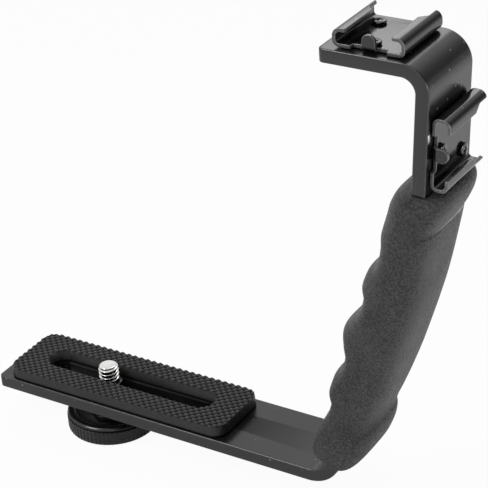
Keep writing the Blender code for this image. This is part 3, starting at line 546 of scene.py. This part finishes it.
# Each level: share of the slot's rounding, share of the draft, and how far down slot and outline are, in mm.
pad_foot = pad_thick / mm
pad_levels = ((0.35, 0.25, 0.62, 0.60), (0.40, 0.10, 1.0, 1.0), (0.25, 0.15, 1.6, 1.6), (0.0, 0.36, 3.1, 3.1),
              (0.0, 0.14, pad_foot, pad_foot))
pad_surface = pad_mesh()
let_down(pad_surface, [(slot_in * slot_round, out * pad_draft, pad_height - slot_drop * mm, pad_height - drop * mm)
                       for slot_in, out, slot_drop, drop in pad_levels])

# The attribute read by the rubber's colour and gloss is the knurl's height on the top, so the tops are paler and the
# valleys darker: partly wear on the tops, partly painted shade in the valleys. On the walls it is painted shade: in
# the slot it darkens with the depth squared, and outside it is even but for a painted dark band at the foot.
x, y, z = (points_of(pad_surface) - free_end).T
depth, slot_reach = pad_height - z, pad_slot / 2 + slot_round
relief = np.clip(1.0 - depth / knurl_depth, 0.0, 1.0)
in_slot = (np.abs(y) < slot_reach) & (x > slot_start - slot_reach) & (x < slot_end + slot_reach)
painted_wall_shade = np.where(in_slot, np.clip(1.0 - 0.058 * (depth / mm) ** 2, 0.05, 1.0),
                     np.where(depth > shaded_foot_depth, 0.02, 0.31))
keep_values(pad_surface, "worn", np.where(depth > knurl_depth + 0.02 * mm, painted_wall_shade, 0.49 * relief ** 1.3))
pad = shown("knurled_pad", pad_surface)
faces_out(pad, 50.0)


def moulded(name, colour, roughness, pebble, grain, variation=0.2, dust=0.0, shine=0.5, worn=None, worn_shine=None):
    """Rubber or plastic straight from the mould: cloudy colour, a pebbled grain in colour, gloss and relief, some
    dust. The pebbles are rounded cells plus a fine noise. Where the first pair of shares is given, it scales the
    colour from the attribute's 0 to its 1, and the second pair does so for the mirrored part; this attribute holds
    painted shade, painted highlight and wear."""
    made, tree, shader, place = new_material(name)
    cloud, grit = noise(tree, place, 90.0, 5.0, 0.6), noise(tree, place, 2.2 * pebble, 3.0, 0.6)
    cell = node(tree, "TexVoronoi", {"Vector": place, "Scale": pebble, "Smoothness": 0.5}, feature="SMOOTH_F1")
    height = worked(tree, "MULTIPLY_ADD", cell.outputs["Distance"], -0.8, grit)
    shade = ramp(tree, worked(tree, "MULTIPLY_ADD", height, 1.3, cloud), 0.35, 1.15, 1.0 - variation, 1.0 + variation)
    glint = worked(tree, "MULTIPLY", shade, shine)
    if worn:
        # Painted light: the attribute darkens or lightens colour and gloss as shade and highlight, besides wear.
        shade, glint = (worked(tree, "MULTIPLY", value, ramp(tree, attribute(tree, "worn"), 0.0, 1.0, *shares))
                        for value, shares in ((shade, worn), (glint, worn_shine)))
    speck = node(tree, "TexVoronoi", {"Vector": place, "Scale": 600.0}).outputs["Distance"]
    fill(tree, shader, {"Base Color": covered(tree, ramp(tree, speck, 0.07, 0.03, 0.0, dust),
                                              tinted(tree, colour, shade), (0.16, 0.16, 0.16)),
                        "Specular IOR Level": glint,
                        "Roughness": ramp(tree, grit, 0.35, 0.65, roughness * 0.9, roughness * 1.12),
                        "Normal": bumped(tree, height, grain, 0.8 * mm)})
    return made


pad.data.materials.append(moulded("pad_rubber", (0.016, 0.016, 0.016), 0.42, 2500.0, 0.05, dust=0.2, shine=0.53,
                                  worn=(0.05, 3.2), worn_shine=(0.0, 2.8)))
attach(pad, "bracket")
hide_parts("rubber_pad")


# ---- The hand grip ----
# A sleeve of black rubbery plastic with a pebbled skin, moulded in one piece and pushed up the arm from below.
# Waves on the inside take the fingers, and a crease, a palm swell and a scooped foot shape the outside.
grip_length, grip_drop, grip_end_round = 100.2 * mm, 2.6 * mm, 0.5 * mm
grip_half_width, grip_palm, grip_finger, grip_power = 14.2 * mm, 7.5 * mm, 11.9 * mm, 3.0
palm_shares = np.array([
    [0.0, 0.008, 0.03, 0.085, 0.12, 0.145, 0.165, 0.19, 0.25, 0.345, 0.44, 0.54, 0.64, 0.72, 0.78, 0.82, 0.85,
     0.867, 0.8775, 0.881, 0.887, 0.899, 0.915, 0.935, 0.96, 0.976, 0.988, 0.996, 1.0],
    [0.632, 0.664, 0.733, 0.909, 0.937, 0.879, 0.733, 0.743, 0.833, 0.936, 0.991, 0.997, 0.977, 0.908, 0.823, 0.757,
     0.708, 0.676, 0.652, 0.604, 0.6, 0.65, 0.728, 0.819, 0.917, 0.947, 0.913, 0.827, 0.747]])
finger_shares = np.array([
    [0.0, 0.006, 0.025, 0.06, 0.1, 0.14, 0.175, 0.21, 0.245, 0.285, 0.32, 0.35, 0.385, 0.42, 0.46, 0.495, 0.53,
     0.565, 0.6, 0.635, 0.67, 0.705, 0.74, 0.775, 0.82, 0.87, 0.91, 0.945, 0.97, 0.988, 0.996, 1.0],
    [0.756, 0.794, 0.81, 0.808, 0.771, 0.711, 0.672, 0.68, 0.856, 0.849, 0.744, 0.7, 0.728, 0.887, 1.001, 0.901,
     0.784, 0.734, 0.764, 0.904, 0.885, 0.75, 0.712, 0.753, 0.86, 0.871, 0.878, 0.828, 0.748, 0.609, 0.504, 0.437]])
width_shares = np.array([
    [0.0, 0.008, 0.03, 0.1, 0.5, 0.8, 0.96, 0.985, 0.997, 1.0],
    [0.945, 0.975, 0.99, 1.0, 1.0, 0.99, 0.985, 0.97, 0.95, 0.935]])


def eased(table, at):
    """Reads a table of places and values by a cubic, whose slope at a value is the harmonic mean of the slopes
    beside it, or level where these differ in sign, so it never swings past a value."""
    places, values = table
    widths, rises = np.diff(places), np.diff(values) / np.diff(places)
    same = rises[:-1] * rises[1:] > 0.0
    inner = np.where(same, 2.0 * rises[:-1] * rises[1:] / np.where(same, rises[:-1] + rises[1:], 1.0), 0.0)
    slopes = np.concatenate([rises[:1], inner, rises[-1:]])
    k = np.clip(np.searchsorted(places, at) - 1, 0, len(widths) - 1)
    t = (at - places[k]) / widths[k]
    return ((2 * t ** 3 - 3 * t ** 2 + 1) * values[k] + (t ** 3 - 2 * t ** 2 + t) * widths[k] * slopes[k]
            + (3 * t ** 2 - 2 * t ** 3) * values[k + 1] + (t ** 3 - t ** 2) * widths[k] * slopes[k + 1])


def oval(angle, across, palm, finger, power):
    """A point of an oval whose out-radius is palm on one side and finger on the other: at a polar angle its
    distance is (|cos / across|^power + |sin / depth|^power)^(-1 / power)."""
    depth = np.where(np.sin(angle) > 0.0, palm, finger)
    size = (np.abs(np.cos(angle) / across) ** power + np.abs(np.sin(angle) / depth) ** power) ** (-1.0 / power)
    return size * np.cos(angle), size * np.sin(angle)


shares = np.concatenate([np.linspace(0.0, 0.01, 9)[:-1], np.linspace(0.01, 0.99, 420), np.linspace(0.99, 1.0, 9)[1:]])
round_grip = full_turn(168)
from_end = grip_length * np.minimum(shares, 1.0 - shares)
drawn_in = grip_end_round * (1.0 - np.sqrt(1.0 - np.clip(1.0 - from_end / grip_end_round, 0.0, 1.0) ** 2))
outside = oval(round_grip, *((size * eased(table, shares) - drawn_in)[:, None] for size, table in (
    (grip_half_width, width_shares), (grip_palm, palm_shares), (grip_finger, finger_shares))), grip_power)
bore_depth = bar_thickness / 2 + paint_gap
bore = oval(round_grip, bar_width / 2 + paint_gap, bore_depth, bore_depth, 14.0)
across, out = (np.concatenate([o, (o[-1:] + b) / 2, np.repeat(b, 40, 0), (o[:1] + b) / 2])
               for o, b in zip(outside, bore))

# The rows of the lowest 2.6 mm lie together where the arm starts, so the foot is flat there.
places = np.concatenate([shares, [1.0], np.linspace(1.0, 0.0, 40), [0.0]])
arm_start = follow((0.0, -bar_thickness / 2), 0.0, bar_moves, bar_ends[2])[:2]
x, z, heading = (v[:, None] for v in follow(arm_start, arm_lean, bar_moves[2:5], grip_length * places - grip_drop))
below_arm = np.clip(grip_drop - grip_length * places[:, None], 0.0, None)
in_bore = np.concatenate([np.zeros(len(shares)), [0.5], np.ones(40), [0.5]])[:, None]
out = out - in_bore * (lower_bend - np.sqrt(lower_bend ** 2 - below_arm ** 2))
grip = skin("moulded_grip", np.stack([free_end[0] + x + out * np.sin(heading), across + 0.0 * x,
                                      free_end[2] + z - out * np.cos(heading)], -1), rings=True)
faces_out(grip, 40.0)

# A painted highlight: the lip of the crease is painted pale on the outer side, the more so towards the far side.
crease_highlight_at, crease_highlight_half_width, crease_highlight_near, crease_highlight_far = 0.885, 0.0055, -10.0 * mm, 8.0 * mm
lip = (np.exp(-((places[:, None] - crease_highlight_at) / crease_highlight_half_width) ** 2) * (1.0 - in_bore)
       * np.clip((across - crease_highlight_near) / (crease_highlight_far - crease_highlight_near), 0.0, 1.0))
keep_values(grip.data, "worn", (lip * (np.sin(round_grip) > 0.0)).reshape(-1))
# Painted highlight: along the crease the attribute lifts the colour up to 34 times.
grip.data.materials.append(moulded("grip_skin", (0.021, 0.021, 0.021), 0.46, 1450.0, 1.0, variation=0.4, dust=0.25,
                                   shine=0.84, worn=(1.0, 34.0), worn_shine=(1.0, 1.6)))
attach(grip, "bracket")
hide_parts("hand_grip")


# ---- The accessory shoes ----
# Each is one stamping of 1 mm steel: the blank has a mouth cut out of its lips at the back, and a tongue in a
# notch at the front. Four folds make the channel with its lips, a fifth sets the tongue up as the stop tab.
sheet, sheet_edge = 1.0 * mm, 0.16 * mm
shoe_inner, shoe_half_length, shoe_height, lip_gap = 18.9 * mm, 10.5 * mm, 5.2 * mm, 13.2 * mm
low_fold, high_fold, tab_fold = 1.4 * mm, 1.8 * mm, 0.9 * mm
tab_half, tab_rise, notch_half, notch_depth = 1.95 * mm, 1.35 * mm, 5.1 * mm, 1.5 * mm
mouth_slant, mouth_straight, mouth_wide, shoe_lift = 6.3 * mm, 4.5 * mm, 1.9 * mm, paint_gap
quarter = math.pi / 2.0

shoe_wall = shoe_inner / 2 + sheet / 2
lip_run = shoe_wall - high_fold - lip_gap / 2
wall_run = shoe_height - sheet - low_fold - high_fold
side_moves = [(lip_run, 0.0), (high_fold * quarter, quarter), (wall_run, 0.0), (low_fold * quarter, quarter)]
shoe_moves = side_moves + [(2 * (shoe_wall - low_fold), 0.0)] + side_moves[::-1]
shoe_ends = np.cumsum([0.0] + [length for length, _ in shoe_moves])
shoe_half = shoe_ends[-1] / 2
tab_line = notch_depth - shoe_half_length
tab_tip = tab_line - tab_fold * quarter - tab_rise - tab_half
mouth_half = shoe_half - mouth_wide
half_corners = [(tab_half, tab_tip, 0.98 * tab_half), (tab_half, tab_line, 0.25 * mm),
                (notch_half, tab_line, 0.4 * mm), (notch_half, -shoe_half_length, 0.5 * mm),
                (shoe_half, -shoe_half_length, 0.6 * mm), (shoe_half, shoe_half_length - mouth_slant, 1.0 * mm),
                (mouth_half, shoe_half_length - mouth_straight, 1.4 * mm), (mouth_half, shoe_half_length, 0.6 * mm)]
shoe_corners = half_corners + [(-x, y, radius) for x, y, radius in half_corners[::-1]]
shoe_corners = shoe_corners[-4:] + shoe_corners[:-4]
shoe_scores = np.concatenate([np.linspace(shoe_ends[k], shoe_ends[k + 1], 11) for k in (1, 3, 5, 7)]) - shoe_half
tab_scores = np.append(tab_line - np.linspace(0.0, tab_fold * quarter, 9), tab_line - tab_fold * quarter - tab_rise)


def on_shoe(along, back, height):
    """A point of the folded shoe about its seat. Across the channel it follows the folds from lip to lip; beyond
    the notch's foot the tongue turns up with its own fold, as (radius x sin, radius x (1 - cos))."""
    x, z, heading = follow((-lip_gap / 2, shoe_height - sheet / 2), math.pi, shoe_moves, along + shoe_half)
    x, z = x + height * np.sin(heading), z - height * np.cos(heading)
    tongue = (back < tab_line) & (np.abs(along) < (tab_half + notch_half) / 2)
    forward, rise, turn = follow((0.0, sheet / 2), 0.0, [(tab_fold * quarter, quarter), (tab_rise + tab_half, 0.0)],
                                 np.where(tongue, tab_line - back, 0.0))
    y = np.where(tongue, tab_line - forward - height * np.sin(turn), back)
    z = np.where(tongue, rise - height * np.cos(turn), z)
    return x, y, z + shoe_lift


def seated(seat, points):
    """Carry points about a seat to its place: x' = x cos a + z sin a, z' = z cos a - x sin a, with a the lean."""
    place_x, place_z, lean = seat
    x, y, z = points
    return (free_end[0] + place_x + x * math.cos(lean) + z * math.sin(lean), y,
            free_end[2] + place_z + z * math.cos(lean) - x * math.sin(lean))


seats = {"top_shoe": (top_shoe_at, top_height, 0.0),
         "side_shoe": (side_seat[0], side_seat[1], math.pi - leg_lean)}
shoe_outlines = [rounded_outline(shoe_corners, 8)] + [round_hole((x, y), screw_hole, 28) for x, y in shoe_screws]
# On the shoes the paler edge colour is nearly mid grey and also covers the cut faces: mostly painted highlight,
# partly scuffed paint.
shoe_enamel = enamel("shoe_enamel", (0.0065, 0.0065, 0.0068), 0.15, 0.08, (0.35, 0.35, 0.35), 0.85, 0.6)
for shoe_name, seat in seats.items():
    shoe = folded_sheet("folded_" + shoe_name, shoe_outlines, sheet, sheet_edge, shoe_scores, tab_scores,
                        lambda along, back, height, seat=seat: seated(seat, on_shoe(along, back, height)), 0.35)
    shoe.data.materials.append(shoe_enamel)
    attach(shoe, "bracket")
    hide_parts(shoe_name)


# ---- The shoe screws ----
# Three M2 pan-head screws with a cross recess hold each shoe, through plain holes in the shoe and the bar. They
# are steel, blackened in an oxide bath.
head_radius, head_height, head_rim, shank_radius, shank_reach = 2.0 * mm, 0.85 * mm, 0.42 * mm, 1.0 * mm, 3.6 * mm
head_edge, shank_edge, cross_long, cross_half_width, cross_depth = 0.08 * mm, 0.25 * mm, 1.15 * mm, 0.3 * mm, 0.5 * mm
arm_slope, end_slope, cross_middle, middle_slope = 0.07 * mm, 0.45 * mm, 0.62 * mm, 0.12 * mm
head_foot = 2 * shoe_lift + sheet

# From the middle outwards the head's height is its rim plus a crown that falls as the square root of 1 - share
# squared, less the cross. Then come its side, its underside and the shank.
turn = full_turn(112)
share = np.concatenate([[0.004], np.linspace(0.03, 0.62, 30), np.sin(np.linspace(0.72, np.pi / 2, 9))])[:, None]
x, y = head_radius * share * np.cos(turn), head_radius * share * np.sin(turn)
crown = (head_height - head_rim) * np.sqrt(np.clip(1.0 - share ** 2, 0.0, None))
near, far = np.sort([np.abs(x), np.abs(y)], 0)
in_arm = np.clip((cross_half_width - near) / arm_slope, 0.0, 1.0)
to_end = np.clip((cross_long - far) / end_slope, 0.0, 1.0)
in_middle = np.clip((cross_middle - near - far) / middle_slope, 0.0, 1.0)
head_top = head_rim + crown - cross_depth * np.maximum(in_arm * to_end, in_middle)
under_edge = [(head_radius - head_edge * (1.0 - math.cos(t)), head_edge * (1.0 - math.sin(t)))
              for t in (quarter / 3, quarter / 1.5, quarter)]
tip = -shank_reach - sheet
ring_radius, ring_height = np.array(under_edge + [
    (shank_radius + 0.1 * mm, 0.0), (shank_radius, -0.1 * mm), (shank_radius, tip + shank_edge),
    (shank_radius - shank_edge, tip), (0.05 * mm, tip)]).T[:, :, None]
screw_points = (np.concatenate([x, ring_radius * np.cos(turn)]), np.concatenate([y, ring_radius * np.sin(turn)]),
                head_foot + np.concatenate([head_top, ring_height + 0.0 * turn]))


def metal(name, colour, roughness, brushed, stain, scratch_scale=1600.0, grime_and_shade=1.0):
    """Bare or oxidised metal: patchy stain in colour and gloss, fine tool marks in gloss and relief, and a dark share
    of the colour, given by its last argument, where the groove attribute is 0: partly grime, partly painted shade."""
    made, tree, shader, place = new_material(name)
    cloud, marks = noise(tree, place, 260.0, 4.0, 0.6), noise(tree, place, scratch_scale, 3.0, 0.7)
    tone = worked(tree, "MULTIPLY", ramp(tree, cloud, 0.3, 0.7, 1.0 - stain, 1.0),
                  ramp(tree, attribute(tree, "clean_and_unshaded"), 0.0, 1.0, grime_and_shade, 1.0))
    fill(tree, shader, {"Metallic": 1.0, "Base Color": tinted(tree, colour, tone),
                        "Roughness": ramp(tree, marks, 0.35, 0.65, roughness * 0.75, roughness * 1.3),
                        "Normal": bumped(tree, marks, brushed, 0.04 * mm)})
    return made


black_steel = metal("black_oxide_steel", (0.12, 0.12, 0.125), 0.16, 0.12, 0.4)
for shoe_name, seat in seats.items():
    for place_name, (screw_x, screw_y) in zip(("front", "rear_left", "rear_right"), shoe_screws):
        x, y, z = screw_points
        screw = skin(f"pan_head_{shoe_name}_{place_name}",
                     np.stack(seated(seat, (x + screw_x, y + screw_y, z)), -1))
        faces_out(screw, 45.0)
        screw.data.materials.append(black_steel)
        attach(screw, "bracket")
        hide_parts(f"{shoe_name}_screw_{place_name}")


# ---- The retaining clip ----
# An open spring ring of 0.8 mm steel, blackened, snapped on the screw's waist. It lies in the pad's slot and
# keeps the screw from dropping out.
screw_at, waist_radius, clip_radius, clip_sheet = 34.7 * mm, 2.4 * mm, 4.2 * mm, 0.8 * mm
clip_gap, clip_mouth, clip_low, clip_edge = 0.3 * mm, math.radians(76.0), paint_gap, 0.12 * mm
clip_turn = np.linspace(math.pi + clip_mouth / 2, 3 * math.pi - clip_mouth / 2, 49)
clip_away = np.stack([np.cos(clip_turn), np.sin(clip_turn)], -1)
clip_inner, clip_middle = waist_radius + clip_gap, (waist_radius + clip_gap + clip_radius) / 2
clip_half = clip_radius - clip_middle
tip_turn = np.linspace(0.0, math.pi, 15)[1:-1]


def clip_tip(angle, way):
    """The round tip of the ring: its middle circle's point plus half the ring's width in every direction."""
    spoke = np.array([math.cos(angle), math.sin(angle)])
    round_way = way * np.array([-spoke[1], spoke[0]])
    outward = way * np.cos(tip_turn)[:, None] * spoke + np.sin(tip_turn)[:, None] * round_way
    return clip_middle * spoke + clip_half * outward, outward


tips = [clip_tip(clip_turn[-1], 1.0), clip_tip(clip_turn[0], -1.0)]
clip_points = np.concatenate([clip_radius * clip_away, tips[0][0], clip_inner * clip_away[::-1], tips[1][0]])
clip_out = np.concatenate([clip_away, tips[0][1], -clip_away[::-1], tips[1][1]])
clip = folded_sheet("spring_clip", [(clip_points, clip_out)], clip_sheet, clip_edge, [], [],
                    lambda a, b, height: (free_end[0] + screw_at + a, b,
                                          free_end[2] + clip_low + clip_sheet / 2 + height))
clip.data.materials.append(black_steel)
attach(clip, "slot_slider")
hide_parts("retaining_clip")


# ---- The thrust washer ----
# A black nylon ring on the screw's waist, between the knob's core and the bar, so that the knob turns without
# marking the paint.
lift, washer_radius, washer_sheet, washer_edge = 2.6 * mm, 6.2 * mm, 0.8 * mm, 0.12 * mm
washer_high = -bar_thickness - paint_gap - lift
round_fine = full_turn(144)


def turned(name, blocks, rings=False):
    """A turned piece on the screw's axis, from blocks of rows one after another. Each is a radius and a height,
    and either may be one number, vary from row to row or vary with the turn."""
    wide = [np.broadcast_arrays(radius, height, round_fine) for radius, height in blocks]
    radius, height, turn = (np.concatenate(parts) for parts in zip(*wide))
    made = skin(name, np.stack([free_end[0] + screw_at + radius * np.cos(turn), radius * np.sin(turn),
                                free_end[2] + height], -1), rings)
    faces_out(made, 38.0)
    return made


edge_in, edge_down = (washer_edge * (1.0 - wave(np.linspace(0.0, quarter, 4)[:, None]))
                      for wave in (np.sin, np.cos))
washer_bore, washer_low = waist_radius + clip_gap, washer_high - washer_sheet
washer = turned("nylon_washer", [
    (washer_radius - edge_in, washer_high - edge_down), (washer_radius - edge_down, washer_low + edge_in),
    (washer_bore + edge_in, washer_low + edge_down), (washer_bore + edge_down, washer_high - edge_in)], rings=True)
washer.data.materials.append(moulded("washer_nylon", (0.02, 0.02, 0.02), 0.42, 1800.0, 0.03))
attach(washer, "screw_lifter")
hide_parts("thrust_washer")


# ---- The camera screw ----
# Turned from bright nickel-plated steel: a 1/4 inch stud with 20 threads to the inch above a slim waist, in one
# with the hexagon core, in whose foot a tripod socket is tapped.
thread_radius, thread_top, thread_pitch, thread_depth = 3.175 * mm, 6.6 * mm, 1.27 * mm, 0.66 * mm
thread_low, core_top, core_foot, core_flats = 1.4 * mm, -8.0 * mm, -14.1 * mm, 11.5 * mm
socket_radius, socket_depth, socket_flare, drill_radius = 2.65 * mm, 5.0 * mm, 0.55 * mm, 2.2 * mm
core_edge, waist_round, tip_round, tip_high = 0.25 * mm, 0.2 * mm, 1.15 * mm, 1.2 * mm
groove_shade_below, groove_shade_over = 0.62 * mm, 0.3 * mm


def hexagon(flats):
    """Radius of a hexagon at each turn: half the distance over flats, over the cosine of the angle to the
    nearest flat's middle."""
    return flats / 2 / np.cos((round_fine + np.pi / 6) % (np.pi / 3) - np.pi / 6)


def threaded(height):
    """Radius of the stud at each height and turn: the thread's phase is height over pitch less the turn; its
    flank is a clipped triangle wave of the phase. A rounded tip and a run-out at the foot cut it down."""
    phase = (height / thread_pitch - round_fine / (2.0 * np.pi)) % 1.0
    flank = np.clip(1.7 * (1.0 - np.abs(2.0 * phase - 1.0)) - 0.42, 0.0, 1.0)
    flank = flank * flank * (3.0 - 2.0 * flank) * 0.35 + flank * 0.65
    tip = np.clip((height - thread_top + tip_high) / tip_high, 0.0, 1.0)
    cap = thread_radius - tip_round * (1.0 - np.sqrt(1.0 - 0.999 * tip ** 2))
    foot = thread_radius - thread_depth + np.clip(height - thread_low, 0.0, None) * 1.2
    return np.minimum(np.minimum(thread_radius - thread_depth * (1.0 - flank), cap), foot)


stud_z = np.linspace(thread_low, thread_top, 150)[:, None]
hex_round = np.minimum(hexagon(core_flats), core_flats / 2 * 1.115)
socket_z = np.linspace(socket_depth - 0.5 * mm, 0.6 * mm, 60)[:, None]
socket_r = socket_radius + 0.22 * mm * np.abs(2 * ((socket_z / thread_pitch - round_fine / (2 * np.pi)) % 1.0) - 1.0)
socket_end, tip_radius = core_foot + socket_depth, thread_radius - tip_round
stud = turned("threaded_stud", [
    (0.05 * mm, socket_end), (drill_radius, socket_end), (socket_radius, socket_end - 0.4 * mm),
    (socket_r, core_foot + socket_z), (socket_radius + socket_flare, core_foot), (hex_round - core_edge, core_foot),
    (hex_round, core_foot + core_edge), (hex_round, core_top - core_edge), (hex_round - core_edge, core_top),
    (waist_radius + waist_round, core_top), (waist_radius, core_top + waist_round),
    (waist_radius, thread_low - 0.1 * mm), (threaded(stud_z), stud_z),
    *((share * tip_radius, thread_top) for share in (0.9, 0.5, 0.02))])

# The grooves of the thread are painted dark, partly as grime and partly as painted shade: the attribute is 0 from
# 0.62 mm below the crests down, and 1 from 0.32 mm below them up.
x, y, z = (points_of(stud.data) - [free_end[0] + screw_at, 0.0, free_end[2]]).T
grooved = (z > thread_low) & (z < thread_top - 0.5 * mm)
keep_values(stud.data, "clean_and_unshaded", np.where(grooved, np.clip(
    (np.hypot(x, y) - thread_radius + groove_shade_below) / groove_shade_over, 0.0, 1.0), 1.0))
stud.data.materials.append(metal("bright_nickel", (0.88, 0.87, 0.85), 0.08, 0.08, 0.25, 2400.0, 0.02))
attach(stud, "knob_and_screw")
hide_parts("camera_screw")


# ---- The knob ----
# Black plastic moulded round the screw's core: a low disc with 64 rounded ribs, a glossy round rim, and a
# shallow dish on top, shaded by the bar, from which a hub rises round the core.
knob_radius, knob_height, rib_depth, ribs = 14.5 * mm, 6.1 * mm, 0.2 * mm, 64
knob_bead, knob_foot_round, dish_depth, dish_slope, rim_width = 1.4 * mm, 0.8 * mm, 1.1 * mm, 0.5 * mm, 2.3 * mm
knob_high = core_top - paint_gap
knob_low = knob_high - knob_height
round_fine = full_turn(8 * ribs)
grooves = rib_depth * (0.5 - 0.5 * np.cos(ribs * round_fine))
pocket = hexagon(core_flats + 0.6 * mm)
bend_8 = np.linspace(0.0, quarter, 8)[:, None]
knob_foot_r = knob_radius - knob_foot_round * (1.0 - np.sin(bend_8))
knob_foot_z = knob_low + knob_foot_round * (1.0 - np.cos(bend_8))
bead_turn = np.linspace(-0.35, 0.5, 12)[:, None] * np.pi
bead = 0.5 * knob_bead
knob_rim_r = knob_radius - rib_depth - bead + bead * np.abs(np.cos(bead_turn)) ** 1.5
knob_rim_z = knob_high - bead + bead * np.sign(bead_turn) * np.abs(np.sin(bead_turn)) ** 1.5
bead_foot = knob_high - knob_bead
wall_z = np.linspace(knob_low + knob_foot_round, bead_foot - 0.15 * mm, 5)[1:, None]
inner = knob_radius - rim_width
dish = knob_high - dish_depth
knob = turned("ribbed_knob", [
    (pocket, knob_low + core_edge), (pocket + 0.3 * mm, knob_low), (0.5 * (pocket + knob_foot_r[0]), knob_low),
    (knob_foot_r - grooves * np.sin(bend_8) ** 2, knob_foot_z), (knob_radius - grooves, wall_z[:3]),
    (knob_radius - 0.9 * grooves, wall_z[3:]), (knob_radius - rib_depth - 0.15 * mm, bead_foot - 0.02 * mm),
    (knob_rim_r, knob_rim_z), (inner + 0.25 * mm, knob_high), (inner + 0.02 * mm, knob_high - 0.05 * mm),
    (inner - 0.2 * mm, knob_high - 0.45 * mm), (inner - dish_slope + 0.1 * mm, dish + 0.12 * mm),
    (inner - dish_slope - 0.15 * mm, dish), (0.5 * (pocket + inner - dish_slope), dish), (pocket + 1.1 * mm, dish),
    (pocket + 0.95 * mm, knob_high - 0.15 * mm), (pocket + 0.85 * mm, knob_high), (pocket + 0.1 * mm, knob_high),
    (pocket, knob_high - 0.1 * mm)], rings=True)
knob.data.materials.append(moulded("knob_plastic", (0.008, 0.008, 0.0083), 0.22, 1400.0, 0.008, dust=0.1))
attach(knob, "knob_and_screw")
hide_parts("screw_knob")
